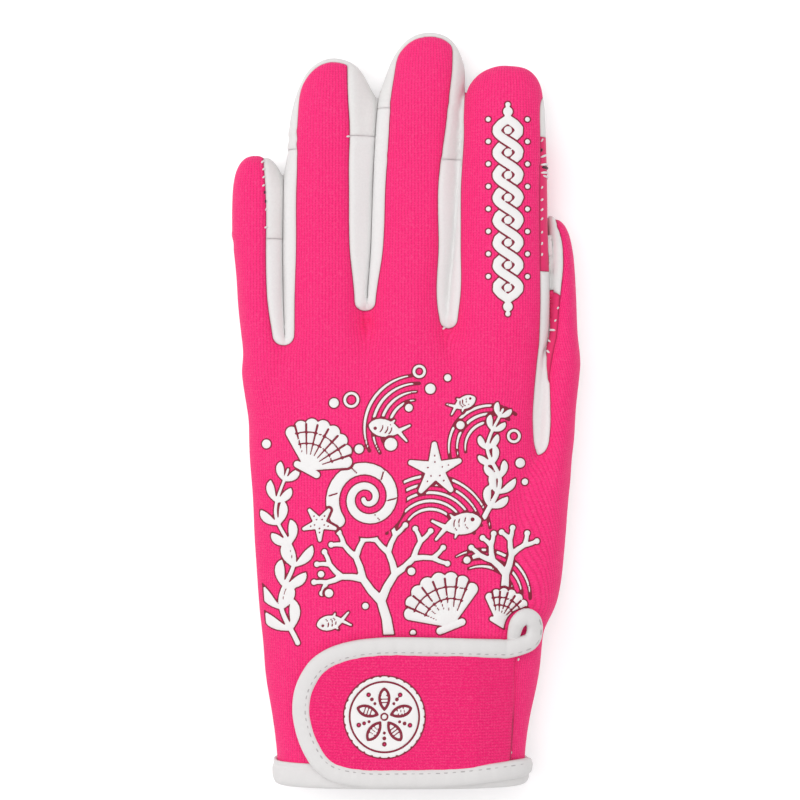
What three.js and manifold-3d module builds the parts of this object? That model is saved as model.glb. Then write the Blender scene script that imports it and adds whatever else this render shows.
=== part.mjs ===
// A left-hand diving glove lying palm down, fingers towards +Y, thumb towards +X, +Z up, in millimetres.
// The back is pink neoprene, and the palm, the fingertips' wraps and the walls between the fingers are
// thin white synthetic suede. A wide wrist strap with a bound edge lies over the cuff.
// Lengths along the hand are counted from the cuff's hem. The finished part is then moved, so that its
// origin is the middle of the palm's flat underside.
import * as THREE from "three";
import { mergeVertices } from "three/addons/utils/BufferGeometryUtils.js";
import Module from "manifold-3d";

// Driving dimensions of the hand
const HAND_LENGTH = 138; // hem to the web beside the little finger
const PALM_WIDTH = 96;
const HAND_THICKNESS = 25;
const NEOPRENE = 1.8; // wall of the back
const SUEDE = 1.2; // wall of the palm and of the finger walls
const SEAM_GAP = 0.4; // clearance between two panels that are sewn together
const SOLE_FLAT = 0.6; // how far the rounded underside is pressed flat where it rests

// Length, width and thickness of each finger, measured outside, from its root inside the hand
const LITTLE_LENGTH = 88;
const LITTLE_WIDTH = 16.4;
const LITTLE_THICKNESS = 16.5;
const RING_LENGTH = 118.6;
const RING_WIDTH = 28;
const RING_THICKNESS = 17.5;
const MIDDLE_LENGTH = 127;
const MIDDLE_WIDTH = 27.6;
const MIDDLE_THICKNESS = 18;
const INDEX_LENGTH = 116.2;
const INDEX_WIDTH = 29;
const INDEX_THICKNESS = 16.5;
const THUMB_LENGTH = 135.5;
const THUMB_WIDTH = 11.4;
const THUMB_THICKNESS = 17;

// Strap and bindings
const STRAP_HEIGHT = 46; // along the hand, binding included
const STRAP_THICKNESS = 2.4;
const STRAP_REACH = 35.5; // rounded free end, from the middle line
const BINDING_WIDTH = 6;
const STRAP_BINDING_THICKNESS = 3.2;
const HEM_BINDING_THICKNESS = 1.1;
const HEM_BINDING_WIDTH = 6.4;
const BINDING_GAP = 0.35; // clearance round a binding and under the strap
const LOOP_DIAMETER = 5.4; // rolled end of the strap's binding

// Share of a finger's thickness at which its white lower part begins
const SIDE_SEAM = 0.3;
const OUTER_STEPS = { hand: 28, finger: 16 };
const INNER_STEPS = { hand: 20, finger: 12 };
const ROUNDNESS = { hand: [2.7, 3.6], finger: [2.3, 3] }; // exponents above and below the widest line
const WIDEST = 0.44; // height of the widest line, as a share of the thickness

// Sections from the hem to the web. Shares: along of HAND_LENGTH, left and right of PALM_WIDTH,
// thick and lift of HAND_THICKNESS.
const HAND_ROWS = [
  { along: 0, left: -0.42, right: 0.393, thick: 0.94, lift: 0.09 },
  { along: 0.06, left: -0.426, right: 0.4, thick: 0.94, lift: 0.085 },
  { along: 0.15, left: -0.443, right: 0.42, thick: 0.93, lift: 0.015 },
  { along: 0.27, left: -0.467, right: 0.452, thick: 0.92, lift: 0 },
  { along: 0.39, left: -0.485, right: 0.464, thick: 0.96, lift: 0 },
  { along: 0.58, left: -0.503, right: 0.465, thick: 1, lift: 0 },
  { along: 0.76, left: -0.519, right: 0.456, thick: 0.96, lift: 0 },
  { along: 0.86, left: -0.525, right: 0.45, thick: 0.88, lift: 0 },
  { along: 0.95, left: -0.533, right: 0.45, thick: 0.76, lift: 0 },
  { along: 0.985, left: -0.528, right: 0.446, thick: 0.65, lift: 0 },
  { along: 1.005, left: -0.51, right: 0.43, thick: 0.48, lift: 0 },
];

// Sections from root to tip. Shares: along of the length, shift and width of the width, thick and lift of
// the thickness. little and thumb are the sides towards them: the shares of the half width at which the
// pink back ends and the white wall begins, on the little finger's side and on the thumb's side.
const FINGERS = {
  little: {
    length: LITTLE_LENGTH,
    width: LITTLE_WIDTH,
    thickness: LITTLE_THICKNESS,
    centre: -0.484 * PALM_WIDTH,
    rows: [
      { along: 0, shift: 0.46, width: 1.1, thick: 0.95, lift: 0, little: -1.3, thumb: 0.5 },
      { along: 0.3, shift: 0.08, width: 0.86, thick: 1, lift: 0, little: -1.3, thumb: 0.5 },
      { along: 0.5, shift: -0.02, width: 0.88, thick: 1, lift: 0, little: -1.3, thumb: 0.39 },
      { along: 0.72, shift: -0.065, width: 0.96, thick: 1, lift: 0, little: -1.3, thumb: 0.42 },
      { along: 0.865, shift: -0.065, width: 0.995, thick: 0.94, lift: 0.03, little: -1.3, thumb: 0.35 },
      { along: 0.94, shift: -0.045, width: 0.9, thick: 0.82, lift: 0.08, little: -1.3, thumb: 0.3 },
      { along: 0.975, shift: -0.045, width: 0.6, thick: 0.58, lift: 0.18, little: -1.5, thumb: 0.25 },
      { along: 1, shift: -0.07, width: 0.22, thick: 0.24, lift: 0.34, little: -3, thumb: 0.2 },
    ],
  },
  ring: {
    length: RING_LENGTH,
    width: RING_WIDTH,
    thickness: RING_THICKNESS,
    centre: -0.26 * PALM_WIDTH,
    rows: [
      { along: 0, shift: 0, width: 0.93, thick: 0.95, lift: 0, little: -0.8, thumb: 0.5 },
      { along: 0.15, shift: -0.02, width: 1.1, thick: 1, lift: 0, little: -0.8, thumb: 0.5 },
      { along: 0.22, shift: 0, width: 0.985, thick: 1, lift: 0, little: -0.78, thumb: 0.7 },
      { along: 0.32, shift: -0.01, width: 0.955, thick: 1, lift: 0, little: -0.77, thumb: 0.7 },
      { along: 0.49, shift: 0, width: 0.99, thick: 1, lift: 0, little: -0.73, thumb: 0.54 },
      { along: 0.68, shift: 0.015, width: 1.005, thick: 1, lift: 0, little: -0.73, thumb: 0.48 },
      { along: 0.8, shift: 0.055, width: 0.98, thick: 0.96, lift: 0.02, little: -0.84, thumb: 0.41 },
      { along: 0.91, shift: 0.075, width: 0.81, thick: 0.84, lift: 0.07, little: -0.88, thumb: 0.42 },
      { along: 0.965, shift: 0.075, width: 0.6, thick: 0.64, lift: 0.16, little: -0.7, thumb: 0.45 },
      { along: 0.988, shift: 0.08, width: 0.4, thick: 0.44, lift: 0.26, little: -0.15, thumb: 0.3 },
      { along: 1, shift: 0.08, width: 0.2, thick: 0.24, lift: 0.36, little: 0.1, thumb: 0.1 },
    ],
  },
  middle: {
    length: MIDDLE_LENGTH,
    width: MIDDLE_WIDTH,
    thickness: MIDDLE_THICKNESS,
    centre: 0.02 * PALM_WIDTH,
    rows: [
      { along: 0, shift: 0, width: 0.87, thick: 0.95, lift: 0, little: -0.8, thumb: 0.7 },
      { along: 0.14, shift: -0.03, width: 1.09, thick: 1, lift: 0, little: -0.8, thumb: 0.7 },
      { along: 0.25, shift: -0.035, width: 0.97, thick: 1, lift: 0, little: -0.86, thumb: 0.8 },
      { along: 0.31, shift: -0.04, width: 0.95, thick: 1, lift: 0, little: -0.8, thumb: 0.75 },
      { along: 0.46, shift: 0.02, width: 0.957, thick: 1, lift: 0, little: -0.73, thumb: 0.64 },
      { along: 0.61, shift: 0.058, width: 0.986, thick: 1, lift: 0, little: -0.73, thumb: 0.54 },
      { along: 0.75, shift: 0.092, width: 0.99, thick: 0.97, lift: 0.02, little: -0.72, thumb: 0.64 },
      { along: 0.83, shift: 0.127, width: 0.957, thick: 0.92, lift: 0.04, little: -0.76, thumb: 0.69 },
      { along: 0.9, shift: 0.174, width: 0.884, thick: 0.82, lift: 0.08, little: -0.84, thumb: 0.71 },
      { along: 0.953, shift: 0.203, width: 0.74, thick: 0.66, lift: 0.15, little: -0.85, thumb: 0.7 },
      { along: 0.982, shift: 0.217, width: 0.56, thick: 0.47, lift: 0.24, little: -0.6, thumb: 0.45 },
      { along: 1, shift: 0.222, width: 0.24, thick: 0.24, lift: 0.36, little: 0, thumb: 0 },
    ],
  },
  index: {
    length: INDEX_LENGTH,
    width: INDEX_WIDTH,
    thickness: INDEX_THICKNESS,
    centre: 0.323 * PALM_WIDTH,
    rows: [
      { along: 0, shift: -0.07, width: 0.9, thick: 0.95, lift: 0, little: -0.9, thumb: 0.9 },
      { along: 0.155, shift: -0.13, width: 1.12, thick: 1, lift: 0, little: -0.9, thumb: 0.9 },
      { along: 0.275, shift: -0.064, width: 1.07, thick: 1, lift: 0.16, little: -0.93, thumb: 0.9 },
      { along: 0.38, shift: -0.024, width: 1.045, thick: 1, lift: 0.27, little: -0.95, thumb: 0.86 },
      { along: 0.5, shift: 0.003, width: 1.014, thick: 1, lift: 0.3, little: -1.02, thumb: 0.84 },
      { along: 0.67, shift: 0.024, width: 0.959, thick: 1, lift: 0.3, little: -1.02, thumb: 0.84 },
      { along: 0.82, shift: 0.034, width: 0.903, thick: 0.96, lift: 0.31, little: -1.02, thumb: 0.87 },
      { along: 0.905, shift: 0.02, width: 0.855, thick: 0.86, lift: 0.34, little: -1.05, thumb: 0.93 },
      { along: 0.955, shift: 0.028, width: 0.772, thick: 0.7, lift: 0.4, little: -1.12, thumb: 0.95 },
      { along: 0.983, shift: 0.034, width: 0.55, thick: 0.5, lift: 0.48, little: -1.5, thumb: 1 },
      { along: 1, shift: 0.034, width: 0.24, thick: 0.26, lift: 0.57, little: -3, thumb: 1.2 },
    ],
  },
  thumb: {
    length: THUMB_LENGTH,
    width: THUMB_WIDTH,
    thickness: THUMB_THICKNESS,
    centre: 0.51 * PALM_WIDTH,
    rows: [
      { along: 0, shift: -1.14, width: 1.5, thick: 1.05, lift: 0, little: -0.9, thumb: 1.3 },
      { along: 0.074, shift: -0.947, width: 1.754, thick: 1.1, lift: 0, little: -0.9, thumb: 1.3 },
      { along: 0.167, shift: -0.825, width: 1.93, thick: 1.16, lift: 0, little: -0.9, thumb: 1.3 },
      { along: 0.354, shift: -0.5, width: 1.67, thick: 1.14, lift: 0, little: -0.9, thumb: 1.3 },
      { along: 0.45, shift: -0.14, width: 1.12, thick: 1.05, lift: 0, little: -0.9, thumb: 1.3 },
      { along: 0.546, shift: -0.03, width: 1.11, thick: 0.97, lift: 0, little: -0.62, thumb: 1.3 },
      { along: 0.635, shift: 0.06, width: 1.11, thick: 0.95, lift: 0, little: -0.65, thumb: 1.3 },
      { along: 0.73, shift: 0.13, width: 0.86, thick: 0.88, lift: 0, little: -0.5, thumb: 1.3 },
      { along: 0.827, shift: 0.083, width: 0.8, thick: 0.84, lift: 0, little: -0.1, thumb: 1.3 },
      { along: 0.893, shift: 0.048, width: 0.745, thick: 0.8, lift: 0.01, little: 0.18, thumb: 1.3 },
      { along: 0.937, shift: 0.01, width: 0.685, thick: 0.72, lift: 0.04, little: 0.24, thumb: 1.3 },
      { along: 0.97, shift: -0.06, width: 0.56, thick: 0.58, lift: 0.1, little: 0.28, thumb: 1.5 },
      { along: 0.992, shift: -0.16, width: 0.36, thick: 0.36, lift: 0.2, little: 0.3, thumb: 2 },
      { along: 1, shift: -0.18, width: 0.16, thick: 0.2, lift: 0.28, little: 0.2, thumb: 3 },
    ],
  },
};

// White strips between neighbouring fingers. foot is where the rounded lower end of a strip lies and
// as a share of HAND_LENGTH. leftTop and rightTop are where its cross seams with the fingertips' wraps
// lie, as shares along the finger on that side.
const WRAPPED = ["ring", "middle"]; // fingers whose wrap also covers the very tip
const TIP_WRAP = 1.6; // length of that wrap on the back
const STRIP_ROUND = 3; // length of a strip's rounded lower end
const ROUND_STEPS = 6;
const STRIPS = [
  { name: "fourchette_little_ring", fingers: ["little", "ring"], foot: 1.004, leftTop: 0.69, rightTop: 0.752 },
  { name: "fourchette_ring_middle", fingers: ["ring", "middle"], foot: 1.083, leftTop: 0.786, rightTop: 0.805 },
  { name: "fourchette_middle_index", fingers: ["middle", "index"], foot: 1.043, leftTop: 0.675, rightTop: 0.725 },
];

// Plan of the white gusset between index finger and thumb: shares along of HAND_LENGTH, edges of PALM_WIDTH
const GUSSET_ROWS = [
  { along: 0.757, left: 0.436, right: 0.45 },
  { along: 0.785, left: 0.431, right: 0.468 },
  { along: 0.83, left: 0.43, right: 0.48 },
  { along: 0.9, left: 0.434, right: 0.475 },
  { along: 0.96, left: 0.443, right: 0.47 },
];
// Ends of the gusset and of the pink patch above it, as shares along the finger
const THUMB_SEAMS = { gusset: 0.643, patch: 0.812 };
const INDEX_SEAMS = { gusset: 0.432, patch: 0.802 };
const THUMB_PATCH_FOOT = 0.14; // lower edge of that patch, as a share of the thumb's thickness
const THUMB_WEB = 0.775; // the thumb's palm piece begins here
const INDEX_PATCH_INNER = 0.25; // edge of the patch under the finger, as a share of PALM_WIDTH
const PALM_CENTRE = 0.6; // the origin, as a share of HAND_LENGTH

const PINK = 0xe8246f;
const WHITE = 0xe6e4e2;
const FAR = 400; // larger than the part

const wasm = await Module();
wasm.setup();

const mix = (a, b, t) => a + (b - a) * t;

// A row of a table at any place between its rows
function rowAt(rows, along) {
  const last = rows.length - 1;
  const found = rows.findIndex((row) => row.along >= along);
  const above = found < 0 ? last : Math.max(1, found);
  const [a, b] = [rows[above - 1], rows[above]];
  const t = Math.min(1, Math.max(0, (along - a.along) / (b.along - a.along)));
  return Object.fromEntries(Object.keys(a).map((key) => [key, mix(a[key], b[key], t)]));
}

// A table's row in millimetres: y, centre line x, half width, height of the underside, thickness
function handSection(row) {
  return {
    y: row.along * HAND_LENGTH,
    x: ((row.left + row.right) / 2) * PALM_WIDTH,
    half: ((row.right - row.left) / 2) * PALM_WIDTH,
    lift: row.lift * HAND_THICKNESS,
    thick: row.thick * HAND_THICKNESS,
  };
}

const FINGER_ROOT = 0.81 * HAND_LENGTH;
const THUMB_ROOT = 0.32 * HAND_LENGTH;
const rootOf = (finger) => (finger === FINGERS.thumb ? THUMB_ROOT : FINGER_ROOT);
const alongFinger = (finger, share) => rootOf(finger) + share * finger.length;

function fingerSection(finger, row) {
  return {
    y: alongFinger(finger, row.along),
    x: finger.centre + row.shift * finger.width,
    half: (row.width * finger.width) / 2,
    lift: row.lift * finger.thickness,
    thick: row.thick * finger.thickness,
  };
}

// Sections of a surface that lies further in than the given one, or further out where inset is negative
function moveIn(sections, inset) {
  return sections.map((section, k) => {
    const [before, after] = [sections[Math.max(0, k - 1)], sections[Math.min(sections.length - 1, k + 1)]];
    const taper = (before.half - after.half) / (after.y - before.y);
    const fall = (before.thick - after.thick) / (after.y - before.y) / 2;
    return {
      ...section,
      y: section.y - (inset * taper) / Math.hypot(1, taper),
      half: section.half - inset / Math.hypot(1, taper),
      shrink: 1 - (2 * inset) / Math.hypot(1, fall) / section.thick,
    };
  });
}

// One ring of points round a section. The underside is set lower by SOLE_FLAT, to be cut off flat.
function sectionRing({ x, y, half, lift, thick, shrink }, steps, [upper, lower]) {
  const middle = lift - SOLE_FLAT + thick * WIDEST;
  return Array.from({ length: steps }, (_, k) => {
    const turn = (2 * Math.PI * k) / steps;
    const above = Math.sin(turn) >= 0;
    const curve = (v) => Math.sign(v) * Math.abs(v) ** (2 / (above ? upper : lower));
    const height = above ? thick * (1 - WIDEST) + SOLE_FLAT : thick * WIDEST;
    const z = middle + height * shrink * curve(Math.sin(turn));
    return new THREE.Vector3(x + half * curve(Math.cos(turn)), y, z);
  });
}

// A closed solid through rings of equally many points
function loft(rings) {
  const steps = rings[0].length;
  const centre = (ring) => ring.reduce((sum, p) => sum.add(p), new THREE.Vector3()).divideScalar(steps);
  const points = [...rings.flat(), centre(rings[0]), centre(rings.at(-1))];
  const first = rings.length * steps;
  const index = [];
  for (let k = 0; k < steps; k++) {
    const next = (k + 1) % steps;
    for (let r = 0; r + 1 < rings.length; r++) {
      const [a, b, c, d] = [r * steps + k, r * steps + next, (r + 1) * steps + next, (r + 1) * steps + k];
      index.push(a, c, b, a, d, c);
    }
    index.push(first, k, next);
    index.push(first + 1, (rings.length - 1) * steps + next, (rings.length - 1) * steps + k);
  }
  const geometry = new THREE.BufferGeometry().setFromPoints(points);
  geometry.setIndex(index);
  return solid(geometry);
}

function solid(geometry) {
  const bare = new THREE.BufferGeometry().setAttribute("position", geometry.getAttribute("position"));
  if (geometry.index) bare.setIndex(geometry.index);
  const merged = mergeVertices(bare, 1e-4);
  const vertProperties = new Float32Array(merged.attributes.position.array);
  const triVerts = new Uint32Array(merged.index.array);
  return new wasm.Manifold(new wasm.Mesh({ numProp: 3, vertProperties, triVerts }));
}

// An upright prism over a plan outline given as [x, y] points
function prism(outline, bottom = -FAR, top = FAR) {
  const isShape = outline instanceof THREE.Shape;
  const shape = isShape ? outline : new THREE.Shape(outline.map(([x, y]) => new THREE.Vector2(x, y)));
  const settings = { depth: top - bottom, bevelEnabled: false, curveSegments: 10 };
  const geometry = new THREE.ExtrudeGeometry(shape, settings);
  geometry.translate(0, 0, bottom);
  return solid(geometry);
}

const block = (x0, x1, y0, y1, z0, z1) => prism([[x0, y0], [x1, y0], [x1, y1], [x0, y1]], z0, z1);
const union = (solids) => solids.reduce((sum, part) => sum.add(part));

// Outside of the hand, or a surface that lies further in or out than it, from some place on
function handSolid(inset, from = 0, steps = OUTER_STEPS) {
  const sections = moveIn(HAND_ROWS.map(handSection), inset);
  if (from < 0) sections.unshift({ ...sections[0], y: from });
  sections.at(-1).y -= inset;
  return loft(sections.map((section) => sectionRing(section, steps.hand, ROUNDNESS.hand)));
}

function fingerSolid(finger, inset, steps = OUTER_STEPS) {
  const sections = moveIn(finger.rows.map((row) => fingerSection(finger, row)), inset);
  return loft(sections.map((section) => sectionRing(section, steps.finger, ROUNDNESS.finger)));
}

const fingers = Object.values(FINGERS);
const trimmed = (body, floor) => body.subtract(block(-FAR, FAR, -FAR, FAR, -FAR, floor));
const outside = trimmed(union([handSolid(0), ...fingers.map((f) => fingerSolid(f, 0))]), 0);
function hollow(wall) {
  const inFingers = fingers.map((finger) => fingerSolid(finger, wall, INNER_STEPS));
  return trimmed(union([handSolid(wall, -HEM_BINDING_WIDTH, INNER_STEPS), ...inFingers]), SUEDE);
}

const backShell = outside.subtract(hollow(NEOPRENE));
const whiteShell = outside.subtract(hollow(SUEDE));

// Everything below the side seam, raised by grow: the white panels' part of the glove
function lowerPart(grow) {
  const slab = (sections) =>
    loft(
      sections.map((s) => {
        const [half, top] = [s.half + SEAM_GAP, s.lift + s.thick * SIDE_SEAM + grow];
        const corners = [[1, top], [-1, top], [-1, -FAR], [1, -FAR]];
        return corners.map(([side, z]) => new THREE.Vector3(s.x + side * half, s.y, z));
      }),
    );
  const hand = HAND_ROWS.map(handSection);
  hand[0].y = -FAR;
  return union([
    slab(hand),
    ...fingers.map((finger) => {
      const sections = finger.rows.map((row) => fingerSection(finger, row));
      sections.at(-1).y += SEAM_GAP; // past the fingertip
      return slab(sections);
    }),
  ]);
}

// Place of the seam on one side of a finger
function seamX(finger, side, y) {
  const row = rowAt(finger.rows, (y - rootOf(finger)) / finger.length);
  const section = fingerSection(finger, row);
  return section.x + section.half * row[side];
}

// Points of that seam between two places along the hand
function seam(finger, side, from, to = FAR) {
  const place = (y) => [seamX(finger, side, y), y];
  const end = Math.min(to, alongFinger(finger, 1) - TIP_WRAP);
  const rows = finger.rows.map((row) => fingerSection(finger, row).y);
  return [from, ...rows.filter((y) => y > from + SEAM_GAP && y < end - SEAM_GAP), end].map(place);
}

const shifted = (points, dx) => points.map(([x, y]) => [x + dx, y]);

const CROSS_CLEARANCE = 0.75 * SEAM_GAP; // from a long seam to the step between two cross seams

// Plan of the white region between two fingers: up to the tips and beyond, or up to the cross seams
function stripOutline({ fingers: [left, right], foot, leftTop, rightTop }, grow, toCrossSeams) {
  const start = foot * HAND_LENGTH + STRIP_ROUND;
  const tops = [alongFinger(FINGERS[left], leftTop), alongFinger(FINGERS[right], rightTop)];
  const leftEdge = seam(FINGERS[left], "thumb", start, toCrossSeams ? tops[0] : FAR);
  const rightEdge = seam(FINGERS[right], "little", start, toCrossSeams ? tops[1] : FAR);
  const [[x0, y0], [x1]] = [leftEdge[0], rightEdge[0]];
  const [middle, radius] = [(x0 + x1) / 2, (x1 - x0) / 2];
  const round = Array.from({ length: ROUND_STEPS - 1 }, (_, k) => {
    const turn = Math.PI * (1 + (k + 1) / ROUND_STEPS);
    return [middle + radius * Math.cos(turn), y0 + (STRIP_ROUND + grow) * Math.sin(turn)];
  });
  const [leftEnd, rightEnd] = [leftEdge.at(-1), rightEdge.at(-1)];
  const [low, high] = [
    Math.max(...tops.map((y) => seamX(FINGERS[left], "thumb", y))) + CROSS_CLEARANCE,
    Math.min(...tops.map((y) => seamX(FINGERS[right], "little", y))) - CROSS_CLEARANCE,
  ];
  const between = Math.min(high, Math.max(low, gapLine(left, right, (tops[0] + tops[1]) / 2)));
  const crossed = [[between, rightEnd[1]], [between, leftEnd[1]]];
  const open = [[rightEnd[0], FAR], [leftEnd[0], FAR]];
  return [
    ...shifted(leftEdge, -grow).reverse(),
    ...round,
    ...shifted(rightEdge, grow),
    ...(toCrossSeams ? crossed : open),
  ];
}

// Middle of the narrow gap between two neighbouring fingers
function gapLine(left, right, y) {
  const edge = (finger, side) => {
    const section = fingerSection(finger, rowAt(finger.rows, (y - rootOf(finger)) / finger.length));
    return section.x + side * section.half;
  };
  return (edge(FINGERS[left], 1) + edge(FINGERS[right], -1)) / 2;
}

// Plan of the white region between index finger and thumb
function gussetOutline(grow) {
  const place = (row, edge) => [row[edge] * PALM_WIDTH, row.along * HAND_LENGTH];
  const from = GUSSET_ROWS.at(-1).along * HAND_LENGTH;
  const indexSeam = seam(FINGERS.index, "thumb", from + FINGERS.index.length * 0.06);
  const thumbSeam = seam(FINGERS.thumb, "little", from + FINGERS.thumb.length * 0.04);
  const left = [...GUSSET_ROWS.map((row) => place(row, "left")), ...indexSeam];
  const right = [...GUSSET_ROWS.map((row) => place(row, "right")), ...thumbSeam];
  return [
    ...shifted(left, -grow).reverse(),
    ...shifted(right, grow),
    [right.at(-1)[0] + grow, FAR],
    [left.at(-1)[0] - grow, FAR],
  ];
}

// Plan of the white region over the very tip of a wrapped finger
function tipRegion(name, grow) {
  const finger = FINGERS[name];
  const [[x0, y0], [x1]] = [seam(finger, "little", 0).at(-1), seam(finger, "thumb", 0).at(-1)];
  return block(x0 - TIP_WRAP, x1 + TIP_WRAP, y0 - grow, FAR, -FAR, FAR);
}

const HALF_GAP = SEAM_GAP / 2;
const tipRegions = (grow) => WRAPPED.map((name) => tipRegion(name, grow));
const stripRegions = (grow) => STRIPS.map((strip) => prism(stripOutline(strip, grow, false)));
const whitePlan = (grow) => union([...stripRegions(grow), ...tipRegions(grow), prism(gussetOutline(grow))]);
const belowSeam = lowerPart(-HALF_GAP);
const toSeam = lowerPart(HALF_GAP);

// Back: everything above the side seam that no white region takes
const back = backShell.subtract(toSeam).subtract(whitePlan(HALF_GAP));

// White walls between the fingers, up to their cross seams
const fourchettes = STRIPS.map((strip) => ({
  name: strip.name,
  body: whiteShell.subtract(toSeam).intersect(prism(stripOutline(strip, -HALF_GAP, true))),
}));

// Plan regions on the thumb's side of the hand
const alongHand = (share) => share * HAND_LENGTH;
const thumbSide = (grow) =>
  prism([
    [GUSSET_ROWS[1].left * PALM_WIDTH + 2 * SEAM_GAP - grow, alongHand(THUMB_WEB) - grow],
    [FAR, alongHand(THUMB_WEB) - grow],
    [FAR, FAR],
    [GUSSET_ROWS[1].left * PALM_WIDTH + 2 * SEAM_GAP - grow, FAR],
  ]);
const thumbBody = fingerSolid(FINGERS.thumb, -SEAM_GAP);
const gussetWhite = whiteShell.subtract(toSeam).intersect(prism(gussetOutline(-HALF_GAP)));
const stretchOf = (y0, y1) => block(-FAR, FAR, y0, y1, -FAR, FAR);
const gussetRegion = (grow) =>
  stretchOf(-FAR, alongFinger(FINGERS.index, INDEX_SEAMS.gusset) + grow).subtract(
    thumbBody.intersect(stretchOf(alongFinger(FINGERS.thumb, THUMB_SEAMS.gusset) + grow, FAR)),
  );
const gusset = gussetWhite.intersect(gussetRegion(-HALF_GAP));

// Pink reinforcement patches on the index finger's and the thumb's inner sides
const indexPatchRegion = (grow) =>
  block(
    INDEX_PATCH_INNER * PALM_WIDTH - grow,
    FAR,
    alongFinger(FINGERS.index, INDEX_SEAMS.gusset) + HALF_GAP - grow,
    alongFinger(FINGERS.index, INDEX_SEAMS.patch) + grow,
    -FAR,
    FAR,
  ).subtract(thumbBody);
const whiteRegions = prism(gussetOutline(-HALF_GAP));
const patchable = whiteShell.subtract(toSeam).intersect(whiteRegions).add(whiteShell.intersect(toSeam));
const indexPatch = patchable.intersect(indexPatchRegion(0)).intersect(block(-FAR, FAR, 0, FAR, HALF_GAP, FAR));
function thumbPatchRegion(grow) {
  const [from, to] = [THUMB_SEAMS.gusset, THUMB_SEAMS.patch].map((share) => alongFinger(FINGERS.thumb, share));
  return prism(gussetOutline(grow), THUMB_THICKNESS * THUMB_PATCH_FOOT - grow, FAR)
    .intersect(thumbBody)
    .intersect(stretchOf(from + SEAM_GAP - grow, to + grow));
}

const thumbPatch = whiteShell.intersect(thumbPatchRegion(-HALF_GAP));

// Palm: underside, and the wraps round the fingertips beyond the cross seams
const tipWraps = whiteShell
  .intersect(whitePlan(-HALF_GAP))
  .subtract(union(STRIPS.map((s) => prism(stripOutline(s, HALF_GAP, true)))))
  .subtract(gussetRegion(HALF_GAP).intersect(prism(gussetOutline(HALF_GAP))));
const palmSide = whiteShell
  .intersect(belowSeam)
  .add(tipWraps)
  .subtract(indexPatchRegion(SEAM_GAP))
  .subtract(thumbPatchRegion(HALF_GAP));
const thumbRegion = (grow) => thumbSide(grow).intersect(thumbBody);
const thumbPalm = largest(palmSide.intersect(thumbRegion(-HALF_GAP)));
const palm = largest(palmSide.subtract(thumbRegion(HALF_GAP)));

function largest(body) {
  return body.decompose().reduce((best, part) => (part.volume() > best.volume() ? part : best));
}

// Hem binding: a tape folded over the cuff's edge
const hemOuter = handSolid(-(BINDING_GAP + HEM_BINDING_THICKNESS), -BINDING_GAP - HEM_BINDING_THICKNESS);
const hemInner = handSolid(NEOPRENE + BINDING_GAP + HEM_BINDING_THICKNESS, -FAR, INNER_STEPS);
const hemWallInner = handSolid(NEOPRENE + BINDING_GAP, -FAR, INNER_STEPS);
const hemChannel = handSolid(-BINDING_GAP, -BINDING_GAP).subtract(hemWallInner);
const hemStretch = stretchOf(-FAR, HEM_BINDING_WIDTH);
const hemBinding = hemOuter.subtract(hemInner).subtract(hemChannel).intersect(hemStretch);

// Strap and its binding, which lie over the cuff on the hem binding's thickness
const STRAP_REST = 2 * BINDING_GAP + HEM_BINDING_THICKNESS;
const shellBetween = (low, high) => handSolid(-high, -FAR).subtract(handSolid(-low, -2 * FAR));
const STRAP_ROOT = 0.375 * PALM_WIDTH; // where the strap is sewn down
const STRAP_HEM = -0.6;

function strapShape(inset) {
  const [top, bottom, end] = [STRAP_HEIGHT + STRAP_HEM - inset, STRAP_HEM + inset, inset - STRAP_REACH];
  const shoulder = STRAP_HEIGHT * 0.28;
  const shape = new THREE.Shape();
  shape.moveTo(STRAP_ROOT, top);
  shape.lineTo(end + shoulder, top);
  const farthest = (top + bottom) / 2 + shoulder * 0.1;
  shape.bezierCurveTo(end + shoulder * 0.3, top, end, top - shoulder * 0.7, end, farthest);
  shape.bezierCurveTo(end, bottom + shoulder * 0.7, end + shoulder * 0.5, bottom, end + shoulder * 1.2, bottom);
  shape.lineTo(STRAP_ROOT, bottom);
  return shape;
}

const aboveWidest = block(-FAR, FAR, -FAR, FAR, HAND_THICKNESS * WIDEST, FAR);
const strapPlan = prism(strapShape(BINDING_WIDTH + BINDING_GAP / 2));
const rimPlan = prism(strapShape(0)).subtract(prism(strapShape(BINDING_WIDTH - BINDING_GAP / 2)));
const strap = shellBetween(STRAP_REST, STRAP_REST + STRAP_THICKNESS).intersect(strapPlan).intersect(aboveWidest);
const rim = shellBetween(STRAP_REST - BINDING_GAP / 2, STRAP_REST + STRAP_BINDING_THICKNESS)
  .intersect(rimPlan)
  .intersect(aboveWidest);

// Height of the hand's upper surface, out by some distance
function handTop(x, y, out) {
  const section = handSection(rowAt(HAND_ROWS, y / HAND_LENGTH));
  const scale = 1 + out / (PALM_WIDTH / 2);
  const share = Math.min(0.99, Math.abs(x - section.x) / (section.half * scale));
  const rise = (1 - share ** ROUNDNESS.hand[0]) ** (1 / ROUNDNESS.hand[0]);
  const height = (section.thick * (1 - WIDEST) + SOLE_FLAT) * (1 + (2 * out) / HAND_THICKNESS);
  return section.lift - SOLE_FLAT + section.thick * WIDEST + height * rise;
}

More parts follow.
